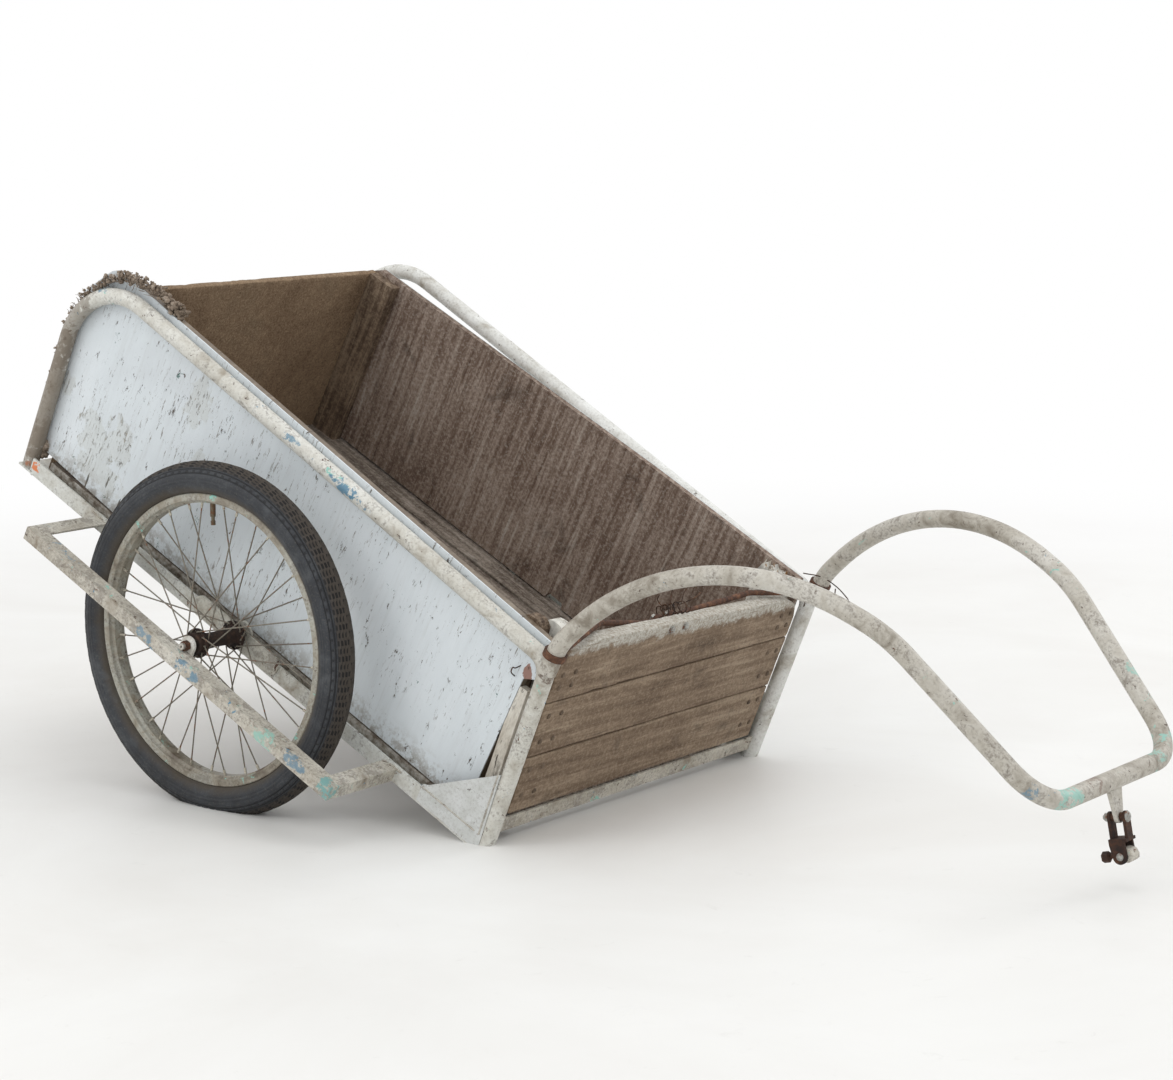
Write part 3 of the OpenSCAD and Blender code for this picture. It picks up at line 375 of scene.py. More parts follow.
bracket_paint = painted("bracket_paint", lin(236, 236, 232), lin(214, 212, 204), lin(160, 150, 136),
                        grime=0.35, chips=0.7, rust=0.8, seed=6.2)
plate_paint = painted("plate_paint", lin(206, 206, 198), lin(176, 172, 160), lin(118, 108, 94), grime=0.6,
                      chips=0.8, rust=0.6, seed=6.9)
rim_paint = painted("rim_paint", lin(188, 190, 182), lin(150, 144, 130), lin(92, 80, 66), grime=0.6,
                    chips=0.8, rust=0.55, seed=8.8, flecks=((MINT, 16, 0.70),))
dark_iron = rusty("dark_iron", (lin(26, 18, 16), lin(48, 33, 27), lin(72, 47, 34), lin(112, 74, 50)), 1.0)
hub_iron = rusty("hub_iron", (lin(20, 15, 14), lin(38, 28, 24), lin(58, 42, 34), lin(90, 66, 50)), 4.0)
orange_rust = rusty("orange_rust", (lin(42, 29, 23), lin(72, 48, 36), lin(100, 68, 50), lin(144, 104, 76)),
                    2.0)
screw_mat = rusty("screw_rust", (lin(62, 50, 40), lin(90, 75, 60), lin(112, 96, 80), lin(140, 122, 102)),
                  3.0)
spoke_steel = steel("spoke_steel", lin(138, 132, 120), rust=0.3, seed=1.0, metallic=0.6, rough=0.45)
nipple_steel = steel("nipple_steel", lin(214, 208, 192), rust=0.3, seed=2.0, metallic=0.5)
bright_steel = steel("bright_steel", lin(216, 212, 204), rust=0.3, seed=3.0)
bolt_steel = steel("bolt_steel", lin(176, 176, 170), rust=0.45, seed=4.0)
brass_mat = steel("valve_brass", lin(120, 112, 92), rust=0.6, seed=5.0)


def panel_paint():
    """Light blue-grey paint on plywood: upright strokes, scratches and brown rubs where it is worn."""
    m = Mat("panel_paint")
    _, y, z = m.split()
    up = m.noise(1.0, 6, 0.7, 0.3, m.scaled((150, 40, 9), loc=(2, 0, 1)))
    streak = m.noise(1.0, 4, 0.6, 0.2, m.scaled((42, 10, 3.2), loc=(7, 0, 3)))
    big = m.noise(4.2, 4, 0.55, 0.4)
    fine = m.noise(300, 4, 0.7)
    v = m.plus(m.times(streak, 0.28), m.times(big, 0.72))
    col = m.ramp(v, [(0.33, lin(200, 206, 210)), (0.48, lin(208, 215, 219)), (0.63, lin(216, 222, 226))])
    col = m.mix(m.times(m.step(up, 0.5, 0.74), 0.16), col, lin(150, 148, 140))
    cracks = m.step(m.noise(1.0, 8, 0.78, 0.2, m.scaled((260, 60, 34), loc=(4, 0, 8))), 0.585, 0.615)
    patchy = m.step(m.noise(5.5, 4, 0.6, 0.5, m.scaled((1, 1, 1), loc=(1, 2, 7))), 0.40, 0.56)
    col = m.mix(m.times(cracks, m.times(patchy, 0.8)), col, lin(92, 80, 66))
    worn = None
    for c, r, size in (((-895, -308, 110), 42, (1.0, 1, 0.9)), ((-850, -308, 122), 30, (0.8, 1, 1.3)),
                       ((-735, -308, 268), 26, (0.9, 1, 1.5)),
                       ((-870, -308, 66), 30, (1.8, 1, 0.7)), ((-700, -308, 180), 14, (1, 1, 2)),
                       ((-985, -308, 150), 20, (1, 1, 1))):
        f = m.near(c, r, 0.9, 38, size)
        worn = f if worn is None else m.math("MAXIMUM", worn, f)
    speck = m.step(m.noise(1.0, 8, 0.8, 0.4, m.scaled((190, 60, 52), loc=(3, 3, 3))), 0.56, 0.62)
    rub = m.times(worn, speck)
    col = m.mix(m.times(rub, 0.75), col, m.ramp(m.noise(70, 6, 0.7),
        [(0.35, lin(96, 82, 64)), (0.5, lin(150, 138, 114)), (0.65, lin(176, 172, 156))]))
    # painted shade: near-black spots stand in for the shade inside small notches by the panel's front edge
    # and low at its rear
    notch_shade = None
    for c, size in (((-50, -307, 118), (0.35, 1, 2.4)), ((-60, -307, 150), (0.3, 1, 1.4)),
                    ((-46, -307, 98), (0.5, 1, 1.2)), ((-812, -307, 40), (0.35, 1, 2.2)),
                    ((-884, -307, 40), (0.3, 1, 2.8)), ((-846, -307, 62), (0.25, 1, 1.7))):
        f = m.near(c, 6, 0.5, 90, size)
        notch_shade = f if notch_shade is None else m.math("MAXIMUM", notch_shade, f)
    col = m.mix(m.times(notch_shade, 0.9), col, lin(34, 28, 24))
    bare = m.near((-58, -307, 256), 8, 0.8, 60, (0.9, 1, 1.4))
    col = m.mix(m.times(bare, 0.85), col, lin(128, 72, 42))
    greens = m.step(m.noise(34, 8, 0.8, 0.3, m.scaled((1, 1, 1), loc=(8, 1, 5))), 0.648, 0.655)
    col = m.mix(greens, col, lin(66, 104, 98))
    col = m.mix(m.times(m.minus(worn, rub, clamp=True), 0.22), col, lin(170, 168, 152))
    chip = m.step(m.noise(60, 9, 0.82, 0.2, m.scaled((1.6, 1, 0.7), loc=(5, 5, 5))), 0.612, 0.622)
    col = m.mix(chip, col, lin(78, 62, 46))
    low = m.step(z, 0.075, 0.022)
    col = m.mix(m.times(low, m.times(m.step(m.noise(60, 7, 0.75), 0.42, 0.6), 0.7)), col, lin(120, 108, 90))
    edge = m.step(m.plus(y, m.times(m.noise(30, 5), 0.002)), *PANEL_INSIDE)
    inner = m.mix(0.5, lin(120, 108, 92), m.ramp(m.noise(1.0, 6, 0.6, 1.0,
        m.scaled((50, 20, 3), loc=(2, 2, 2))), [(0.3, lin(58, 46, 36)), (0.5, lin(100, 84, 68)),
            (0.7, lin(146, 134, 118))]))
    col = m.mix(edge, col, inner)
    h = m.minus(m.plus(m.times(up, 0.5), m.times(fine, 0.25)), m.times(m.math("MAXIMUM", chip, rub), 0.9))
    rough = m.plus(m.times(m.math("MAXIMUM", rub, chip), 0.35), m.plus(m.times(up, 0.18), 0.36))
    return m.done(col, rough, m.bump(h, 0.0006, 0.9))


def chipboard(name):
    """Pressed chips in browns, with pale flakes and dark pits."""
    m = Mat(name)
    a = m.noise(300, 3, 0.6)
    b = m.cells(420)
    c = m.noise(9, 4, 0.6, 0.5)
    d = m.noise(120, 6, 0.7, 0.6)
    v = m.plus(m.times(a, 0.45), m.times(d, 0.35))
    v = m.plus(v, m.times(c, 0.3))
    col = m.ramp(v, [(0.40, lin(86, 70, 54)), (0.50, lin(118, 98, 78)), (0.60, lin(136, 116, 94)),
                     (0.72, lin(164, 144, 118))])
    col = m.mix(m.times(m.step(b, 0.2, 0.05), 0.6), col, lin(176, 152, 118))
    col = m.mix(m.step(m.noise(260, 3, 0.6, 0.0, m.scaled((1, 1, 1), loc=(3, 3, 3))), 0.68, 0.72), col,
                lin(40, 30, 22))
    col = m.mix(m.times(m.step(c, 0.55, 0.75), 0.3), col, lin(54, 44, 34))
    return m.done(col, 0.9, m.bump(m.plus(a, d), 0.0007, 0.9), spec=0.2)


def tyre_rubber(side):
    """Bluish black rubber: dusty tread, brown dust by the rim, pale scuffs, and painted shade in the tread
    cuts, sidewall rings and sipes.
    """
    m = Mat("tyre_rubber_" + side)
    s = -1 if side == "right" else 1
    c = row((AXLE[0], s * AXLE[1], AXLE[2]))
    q = m.add("VectorMath", ins={0: m.tc, 1: c}, operation="SUBTRACT").outputs[0]
    x, y, z = m.split(q)
    r = m.math("SQRT", m.plus(m.times(x, x), m.times(z, z)))
    a = m.noise(45, 6, 0.65, 0.4)
    b = m.noise(330, 5, 0.7)
    big = m.noise(7, 4, 0.6, 0.5)
    col = m.ramp(m.plus(m.times(a, 0.6), m.times(big, 0.4)),
                 [(0.35, lin(32, 34, 38)), (0.52, lin(46, 49, 54)), (0.68, lin(72, 75, 78))])
    col = m.mix(m.times(m.step(b, 0.5, 0.75), 0.3), col, lin(120, 116, 106))
    dust = m.step(m.plus(r, m.times(a, 0.012)), 0.229, 0.214)
    col = m.mix(m.times(dust, 0.55), col, lin(92, 82, 68))
    tread = m.step(m.plus(r, m.times(a, 0.006)), 0.2485, 0.2545)
    col = m.mix(m.times(tread, 0.6), col, m.ramp(b, [(0.3, lin(58, 52, 46)), (0.7, lin(104, 96, 84))]))
    sect = m.times(m.math("ARCTAN2", m.minus(r, SECT_C / 1000), m.math("ABSOLUTE", y)), DEGREES)
    turn = m.times(m.math("ARCTAN2", z, x), TEETH / math.tau)
    lane = m.math("FLOOR", m.math("DIVIDE", m.minus(sect, TREAD_FROM), LANE))
    tooth = m.math("FRACT", m.plus(m.plus(turn, TEETH), m.times(lane, 0.5)))
    on_tread = m.step(sect, TREAD_FROM - 2, TREAD_FROM)
    crown = m.mix(b, lin(84, 74, 64), lin(44, 40, 37))
    col = m.mix(m.times(on_tread, 0.6), col, crown)
    cut = m.times(m.step(tooth, 0.38, 0.30), on_tread)
    ring = m.math("MAXIMUM", m.step(m.math("ABSOLUTE", m.minus(sect, 41.0)), 3.2, 1.2),
                  m.step(m.math("ABSOLUTE", m.minus(sect, 25.0)), 2.4, 0.8))
    dash = m.times(m.step(m.math("ABSOLUTE", m.minus(sect, 31.5)), 4.0, 3.2),
                  m.step(m.math("FRACT", m.plus(m.times(turn, 1.5), 108.0)), 0.30, 0.22))
    groove = m.math("MAXIMUM", m.math("MAXIMUM", cut, ring), m.times(dash, 0.8))
    # painted shade: the tread cuts, sidewall rings and shoulder sipe dashes are darkened to near black to
    # stand in for the shade inside the grooves; the same mask also sinks them in the bump
    col = m.mix(m.times(groove, 0.85), col, lin(20, 20, 22))
    h = m.minus(m.plus(m.times(a, 0.4), m.times(b, 0.6)), m.times(groove, 1.5))
    rough = m.plus(m.times(m.math("MAXIMUM", dust, tread), 0.25), m.plus(m.times(b, 0.2), 0.46))
    return m.done(col, rough, m.bump(h, 0.0005, 0.8), spec=0.4)


WHITE_WOOD = painted("white_wood", lin(228, 226, 218), lin(198, 192, 180), lin(140, 128, 112), grime=0.5,
                     chips=1.0, rust=0.0, seed=9.0, stretch=(1, 1, 0.35))
FRONT_COLS = (lin(86, 71, 56), lin(112, 94, 77), lin(134, 116, 97), lin(162, 146, 126))
FLOOR_COLS = (lin(66, 56, 48), lin(106, 95, 85), lin(144, 133, 122), lin(178, 170, 160))
FAR_COLS = (lin(78, 61, 50), lin(116, 98, 86), lin(150, 134, 122), lin(186, 177, 167))
front_wood = [wood("front_wood_%d" % i, FRONT_COLS, 1, seed=3.0 + i * 5, groove=0.8, dirt=0.35, blotch=0.35)
              for i in range(3)]
top_wood = wood("front_wood_top", FRONT_COLS, 1, seed=17.0, groove=0.8, dirt=0.3, blotch=0.35, strip=0.85,
                spots=(
    ((-26, -225, 322), 18, lin(186, 183, 174), 0.6, (1, 4, 0.6)), ((-26, 150, 306), 9, lin(168, 122, 66),
        0.5, (1, 3, 0.8))))
floor_wood = wood("floor_wood", FLOOR_COLS, 0, seed=8.0, groove=1.6, dirt=0.55, blotch=0.4, edge=True)
far_wood = wood("far_panel_wood", FAR_COLS, 2, seed=11.0, groove=0.9, dirt=0.45, blotch=0.35, ring=34,
                cracks=0.45, outer=True)
rear_post_wood = wood("rear_post_wood", (lin(52, 40, 32), lin(92, 76, 62), lin(128, 110, 92),
                                         lin(160, 144, 124)), 2, seed=14.0)
bare_wood = wood("bare_wood", (lin(74, 52, 36), lin(126, 92, 62), lin(168, 130, 92), lin(200, 172, 136)), 2,
                 seed=15.0, dirt=0.2)
post_wood = wood("post_wood", (lin(74, 62, 50), lin(120, 106, 90), lin(160, 150, 134), lin(192, 186, 174)),
                 2, seed=16.0, dirt=0.4,
                 paint=(lin(214, 212, 204), 0.62))


# ---- mesh helpers ------------------------------------------------------------------------------
def make(name, verts, faces, mat, body="frame", smooth=True, replaces=()):
    """A piece of its own on one body, standing in for the CAD nodes it replaces."""
    me = bpy.data.meshes.new(name)
    me.from_pydata([tuple(v) for v in verts], [], faces)
    me.validate()
    for p in me.polygons:
        p.use_smooth = smooth
    ob = bpy.data.objects.new(name, me)
    bpy.context.scene.collection.objects.link(ob)
    mats = mat if isinstance(mat, (list, tuple)) else [mat]
    for q in mats:
        me.materials.append(q)
    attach(ob, body)
    if replaces:
        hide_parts(*replaces)
    return ob


class Bag:
    """Gathers many small shapes into one mesh."""

    def __init__(self):
        self.v, self.f = [], []

    def put(self, v, f):
        n = len(self.v)
        self.v += list(v)
        self.f += [tuple(i + n for i in q) for q in f]


def tube(bag, pts, r, seg=8):
    """A round rod along points in metres; r is a number or one radius a point."""
    pts = [Vector(p) for p in pts]
    rr = r if isinstance(r, (list, tuple)) else [r] * len(pts)
    n = len(pts)
    t0 = (pts[1] - pts[0]).normalized()
    side = t0.cross(Vector((0, 0, 1)))
    if side.length < 0.1:
        side = t0.cross(Vector((0, 1, 0)))
    side.normalize()
    v, f = [], []
    for i, p in enumerate(pts):
        t = (pts[min(i + 1, n - 1)] - pts[max(i - 1, 0)]).normalized()
        side = (side - t * side.dot(t)).normalized()
        up = t.cross(side)
        for k in range(seg):
            a = 2 * math.pi * k / seg
            v.append(p + (side * math.cos(a) + up * math.sin(a)) * rr[i])
    for i in range(n - 1):
        for k in range(seg):
            a, b = i * seg + k, i * seg + (k + 1) % seg
            f.append((a, b, b + seg, a + seg))
    f.append(tuple(range(seg))[::-1])
    f.append(tuple((n - 1) * seg + k for k in range(seg)))
    bag.put(v, f)


def smooth_path(pts, sub=6):
    """Catmull-Rom points through pts."""
    q = [Vector(p) for p in pts]
    q = [q[0] * 2 - q[1]] + q + [q[-1] * 2 - q[-2]]
    out = []
    for i in range(1, len(q) - 2):
        for s in range(sub):
            t = s / sub
            a, b, c, d = q[i - 1], q[i], q[i + 1], q[i + 2]
            out.append(0.5 * ((2 * b) + (c - a) * t + (2 * a - 5 * b + 4 * c - d) * t * t
                              + (3 * b - a - 3 * c + d) * t ** 3))
    out.append(q[-2])
    return out


def bead(bag, pts, r, seed=0):
    """A rough weld bead along points in metres."""
    rnd = random.Random(seed)
    path = smooth_path(pts, 1) if len(pts) < 3 else smooth_path(pts, 8)
    dense = [path[0]]
    for a, b in zip(path, path[1:]):
        k = max(1, int((b - a).length / (BEAD_PITCH / 3)))
        dense += [a.lerp(b, (i + 1) / k) for i in range(k)]
    s, rr, out = 0.0, [], []
    for i, p in enumerate(dense):
        if i:
            s += (p - dense[i - 1]).length
        w = 0.82 + 0.28 * abs(math.sin(math.pi * s / BEAD_PITCH + 0.6 * pn.noise(p * 90)))
        rr.append(r * w * (0.85 + 0.35 * pn.noise(p * 150 + Vector((seed, 0, 0)))))
        out.append(p + Vector((rnd.uniform(-1, 1), rnd.uniform(-1, 1), rnd.uniform(-1, 1))) * r * 0.08)
    rr[0] = rr[-1] = r * 0.3
    tube(bag, out, rr, 8)


def blob(bag, centre, size, seed, squash=(1, 1, 1), rough=0.45, n=7):
    """A small ragged lump."""
    v, f = [], []
    m = 2 * n
    for i in range(n + 1):
        th = math.pi * i / n
        for k in range(m):
            ph = 2 * math.pi * k / m
            d = Vector((math.sin(th) * math.cos(ph), math.sin(th) * math.sin(ph), math.cos(th)))
            rr = size * (1 + rough * pn.noise(d * 2.1 + Vector((seed * 3.7, seed, -seed))))
            v.append(Vector(centre) + Vector((d.x * squash[0], d.y * squash[1], d.z * squash[2])) * rr)
    for i in range(n):
        for k in range(m):
            a, b = i * m + k, i * m + (k + 1) % m
            f.append((a, a + m, b + m, b))
    bag.put(v, f)


def lattice(lo, hi, cell, rnd):
    """Grid lines from lo to hi with extra lines inside the edge rounding."""
    inner = [lo + rnd * 0.35, lo + rnd, hi - rnd, hi - rnd * 0.35]
    k = max(1, int(round((hi - lo - 2 * rnd) / cell)))
    mid = [lo + rnd + (hi - lo - 2 * rnd) * i / k for i in range(1, k)]
    return [lo] + inner[:2] + mid + inner[2:] + [hi]


def board(bag, lo, hi, cell, rnd, axis, seed, put, amp=0.5, shape=None, wear=1.0):
    """A worn board: rounded ragged edges and a surface grooved along its grain. Sizes are in millimetres."""
    g = [lattice(lo[i], hi[i], cell[i], rnd) for i in range(3)]
    n = [len(a) for a in g]
    idx, v, f = {}, [], []
    s = [0.16] * 3
    s[axis] = 0.006
    for i in range(n[0]):
        for j in range(n[1]):
            for k in range(n[2]):
                if not (i in (0, n[0] - 1) or j in (0, n[1] - 1) or k in (0, n[2] - 1)):
                    continue
                p = Vector((g[0][i], g[1][j], g[2][k]))
                bite = pn.noise(Vector((p.x * 0.03 + seed, p.y * 0.03,
                                        p.z * 0.03))) + 0.5 * pn.noise(Vector((p.x * 0.11, p.y * 0.11 + seed,
                                            p.z * 0.11)))
                r = rnd * (1 + wear * max(0.0, bite))
                q = Vector([min(max(p[a], lo[a] + r), hi[a] - r) for a in range(3)])
                d = p - q
                far = sum(1 for a in range(3) if abs(d[a]) > 1e-6)
                if far > 1:
                    d = d.normalized() * min(r, d.length)
                    p = q + d
                nrm = d.normalized() if d.length > 1e-6 else Vector((0, 0, 0))
                w = pn.noise(Vector((p.x * s[0] + seed * 7, p.y * s[1] + seed * 3, p.z * s[2])))
                w2 = pn.noise(Vector((p.x * s[0] * 3 + seed * 2, p.y * s[1] * 3, p.z * s[2] * 3 + seed)))
                p = p - nrm * amp * max(0.0, 0.55 + 0.8 * w + 0.5 * w2)
                if shape:
                    p = Vector(shape(p))
                idx[i, j, k] = len(v)
                v.append(put(p))

    def quad(a, b, c, d, flip):
        q = (idx[a], idx[b], idx[c], idx[d])
        f.append(q[::-1] if flip else q)

    for i in range(n[0] - 1):
        for j in range(n[1] - 1):
            quad((i, j, 0), (i + 1, j, 0), (i + 1, j + 1, 0), (i, j + 1, 0), True)
            quad((i, j, n[2] - 1), (i + 1, j, n[2] - 1), (i + 1, j + 1, n[2] - 1), (i, j + 1, n[2] - 1),
                 False)
    for i in range(n[0] - 1):
        for k in range(n[2] - 1):
            quad((i, 0, k), (i + 1, 0, k), (i + 1, 0, k + 1), (i, 0, k + 1), False)
            quad((i, n[1] - 1, k), (i + 1, n[1] - 1, k), (i + 1, n[1] - 1, k + 1), (i, n[1] - 1, k + 1),
                 True)
    for j in range(n[1] - 1):
        for k in range(n[2] - 1):
            quad((0, j, k), (0, j + 1, k), (0, j + 1, k + 1), (0, j, k + 1), True)
            quad((n[0] - 1, j, k), (n[0] - 1, j + 1, k), (n[0] - 1, j + 1, k + 1), (n[0] - 1, j, k + 1),
                 False)
    bag.put(v, f)


# ---- boards ------------------------------------------------------------------------------------
for name, z0, z1, mat, sd in (("front_plank_low", 55, 143, front_wood[0], 1.1),
                              ("front_plank_mid", 145, 228.5, front_wood[1], 4.2)):
    bag = Bag()
    board(bag, (-PLANK_T, -PLANK_Y, z0), (0, PLANK_Y, z1), (7, 7, 3.2), 2.0, 1, sd, lean_row)
    make(name + "_worn", bag.v, bag.f, mat, replaces=[name])

TOP = [(-PLANK_Y, 284), (-276, 300), (-250, 311), (-214, 317), (249.7, 299), (281.7, 288), (290.7, 275),
       (PLANK_Y, 232)]


def top_at(y):
    for (a, za), (b, zb) in zip(TOP, TOP[1:]):
        if y <= b:
            return za + (zb - za) * max(0.0, (y - a) / (b - a))
    return TOP[-1][1]


def top_shape(p):
    return (p.x, p.y, TOP_LOW + (p.z - TOP_LOW) * (top_at(p.y) - TOP_LOW) / (TOP_HIGH - TOP_LOW))


bag = Bag()
board(bag, (-PLANK_T, -PLANK_Y, TOP_LOW), (0, PLANK_Y, TOP_HIGH), (7, 6, 3.2), 2.4, 1, 9.3, lean_row,
      shape=top_shape, wear=1.6)
make("front_plank_top_worn", bag.v, bag.f, top_wood, replaces=["front_plank_top"])

FLOOR_Y = [FLOOR_HALF * share for share in (-1, -0.66, -0.18, 0.32, 0.81)]
bag = Bag()
for i in range(4):
    board(bag, (REAR_X + FLOOR_START, FLOOR_Y[i], 3), (-31, FLOOR_Y[i + 1] - 4, 23), (11, 3.6, 8), 1.8, 0,
          20 + i * 3.3, row, amp=0.8, wear=1.8)
make("floor_planks_worn", bag.v, bag.f, floor_wood, replaces=["floor_planks_wide"])

bag = Bag()
board(bag, (REAR_X, -PANEL_IN + 0.6, 3.2), (REAR_X + REAR_T, PANEL_IN - 0.6, 313), (6, 7, 7), 1.6, 1, 31.0,
      row, amp=0.25, wear=2.6,
      shape=lambda p: (p.x, p.y, p.z + (p.z - 3) / 310 * (2.0 * -p.y / 296)))
make("rear_board_worn", bag.v, bag.f, chipboard("chipboard"), replaces=["rear_board"])


# ---- tyres ---------------------------------------------------------------------------------------
def tyre(side):
    """Tyre skin: beads, sidewall rings, shoulder sipes and staggered tread, sagging onto a flat."""
    s = -1 if side == "right" else 1
    cx, cy, cz = row((AXLE[0], s * AXLE[1], AXLE[2]))
    prof = [(RIM_R - 4.2, 12.4, 0), (RIM_R - 3.6, 12.8, 0), (RIM_R + 0.6, 12.9, 0), (RIM_R + 1.0, 16.4, 0)]
    for a in range(-38, 90, 3):
        c = math.radians(a)
        prof.append((SECT_C + SECT_R * math.sin(c), HALF_W * math.cos(c), a))
    prof.append((TYRE_R, 0.0, 90))
    prof += [(r, -y, a) for r, y, a in prof[-2::-1]]
    around = TEETH * TOOTH_STEPS
    v, f = [], []
    for i in range(around):
        th = 2 * math.pi * i / around
        for k, (r, y, a) in enumerate(prof):
            dr = RIBS.get(a, 0.0)
            if a in (28, 31, 34):
                dr -= 1.5 if i % 4 == 0 else 0.0
            if a >= TREAD_FROM:
                lane = (a - TREAD_FROM) // LANE
                phase = (i + lane * 3) % TOOTH_STEPS
                dr += 0.5 - (2.4 if phase in (0, 1) or (a - TREAD_FROM) % (2 * LANE) == 0 else 0.0)
            dr -= 0.25 * (0.5 + pn.noise(Vector((math.cos(th) * 3, math.sin(th) * 3, y * 0.06 + s))))
            n = Vector((math.sin(math.radians(a)),
                        math.cos(math.radians(a)))) if k > 3 and k < len(prof) - 4 else Vector((0, 0))
            rr, yy = r + dr * n.x, y + (dr * n.y if y >= 0 else -dr * n.y)
            x, z = rr * math.cos(th), rr * math.sin(th)
            sag = max(0.0, -z - SAG_FROM) / SAG_SPAN
            yy *= 1 + SAG_WIDEN * min(1.0, sag) ** 1.5
            if z < -DROP:
                z = -DROP + 0.02
            v.append((cx + x / 1000, cy + yy / 1000, cz + z / 1000))
    m = len(prof)
    for i in range(around):
        for k in range(m - 1):
            a, b = i * m + k, ((i + 1) % around) * m + k
            f.append((a, a + 1, b + 1, b))
    return make("tyre_skin_" + side, v, f, tyre_rubber(side), body="wheel_" + side,
                replaces=["tyre_" + side])


for side in ("right", "left"):
    tyre(side)

# ---- small pieces ----------------------------------------------------------------------------------
debris_mat = rusty("debris", (lin(84, 72, 60), lin(118, 104, 90), lin(146, 132, 118), lin(190, 182, 170)),
                   6.0, rough=0.95)
debris_mat.node_tree.nodes["Principled BSDF"].inputs["Metallic"].default_value = 0.0
weld_mat = painted("weld_paint", lin(200, 198, 190), lin(170, 164, 152), lin(110, 96, 80), grime=0.6,
                   chips=1.0, rust=0.9, seed=13.0)
wire_mat = rusty("old_wire", (lin(30, 22, 18), lin(54, 38, 28), lin(84, 58, 40), lin(130, 92, 60)), 7.0)


def debris():
    """Matted dirt on the near rear bend and upright, and clumps at the bend's front and low corner."""
    rnd = random.Random(11)
    path = smooth_path([(-868, -309, 372), (-905, -312, 370), (-940, -313, 360), (-972, -314, 334),
                        (-996, -316, 296), (-1008, -319, 250),
                        (-1008, -320, 205), (-1002, -320, 150), (-996, -320, 96), (-990, -320, 44)], 12)
    bag = Bag()
    for i, p in enumerate(path):
        dense = 1.0 if i < BEND_POINTS else 0.55
        for j in range(9):
            if rnd.random() > dense * (0.35 + 0.75 * abs(pn.noise(p * 0.03 + Vector((j, 0, 0))))) * 1.5:
                continue
            out = (p - Vector((-860, -320, 240))).normalized()
            q = p + Vector((rnd.uniform(-6, 6), rnd.uniform(-9, 9),
                            rnd.uniform(-6, 6))) + out * rnd.uniform(-5, 1 if i < BEND_POINTS else -3)
            blob(bag, row(q), rnd.uniform(0.0008, 0.0030), rnd.random() * 50, (1, 1, rnd.uniform(0.6, 1.3)),
                 0.8, 4)
    for j in range(130):
        q = Vector((-838 + rnd.gauss(0, 14), -304 + rnd.uniform(-5, 9), 362 + rnd.gauss(0, 5)))
        q.x, q.z = q.x - 0.2 * abs(q.x + 838), q.z - 0.12 * (q.x + 838)
        blob(bag, row(q), rnd.uniform(0.0012, 0.0042), rnd.random() * 50, (1, 1, 0.8), 0.8, 4)
    for j in range(110):
        q = Vector((-984 + rnd.uniform(-7, 7), -308 + rnd.uniform(-5, 5), 32 + rnd.uniform(-8, 14)))
        blob(bag, row(q), rnd.uniform(0.0022, 0.0052), rnd.random() * 50, (1, 1, 1), 0.7, 4)
    make("debris_right", bag.v, bag.f, debris_mat)


def fibres():
    """Short fibres that stand out of the dirt on the bend."""
    rnd = random.Random(5)
    bag = Bag()
    for j in range(150):
        t = rnd.random()
        a = Vector((-1006 + 136 * t ** 1.5, -318 + rnd.uniform(-8, 8), 250 + 115 * math.sin(t * 1.7)))
        d = Vector((rnd.uniform(-1, 0.5), rnd.uniform(-0.6, 0.6), rnd.uniform(-0.2, 1))).normalized()
        k = Vector((rnd.uniform(-1, 1), rnd.uniform(-1, 1), rnd.uniform(-1, 1))) * 3
        tube(bag, [row(a), row(a + d * rnd.uniform(4, 8)), row(a + d * rnd.uniform(9, 13) + k)],
             [0.0006, 0.0005, 0.0002], 5)
    make("debris_fibres", bag.v, bag.f, debris_mat)


debris()
fibres()

bag = Bag()
for s in (-1, 1):
    y = 332 * s
    bead(bag, [row((-124, y, 25.5)), row((-20, y, 25.5))], 0.0016, 3 + s)
    bead(bag, [row((-12, y, 25)), row((-24, y, 140))], 0.0016, 5 + s)
    for x in (-822, -174):
        bead(bag, [row((x - 12, y + 0.5 * s, 20.5)), row((x + 12, y + 0.5 * s, 20.5))], 0.0018, 7 + s)
        bead(bag, [row((x, 466 * s, 1)), row((x, 466 * s, 19))], 0.0016, 8 + s)
    bead(bag, [row((-985, 322 * s, 25)), row((-985, 330 * s, 4))], 0.0022, 9 + s)
make("weld_beads", bag.v, bag.f, weld_mat)


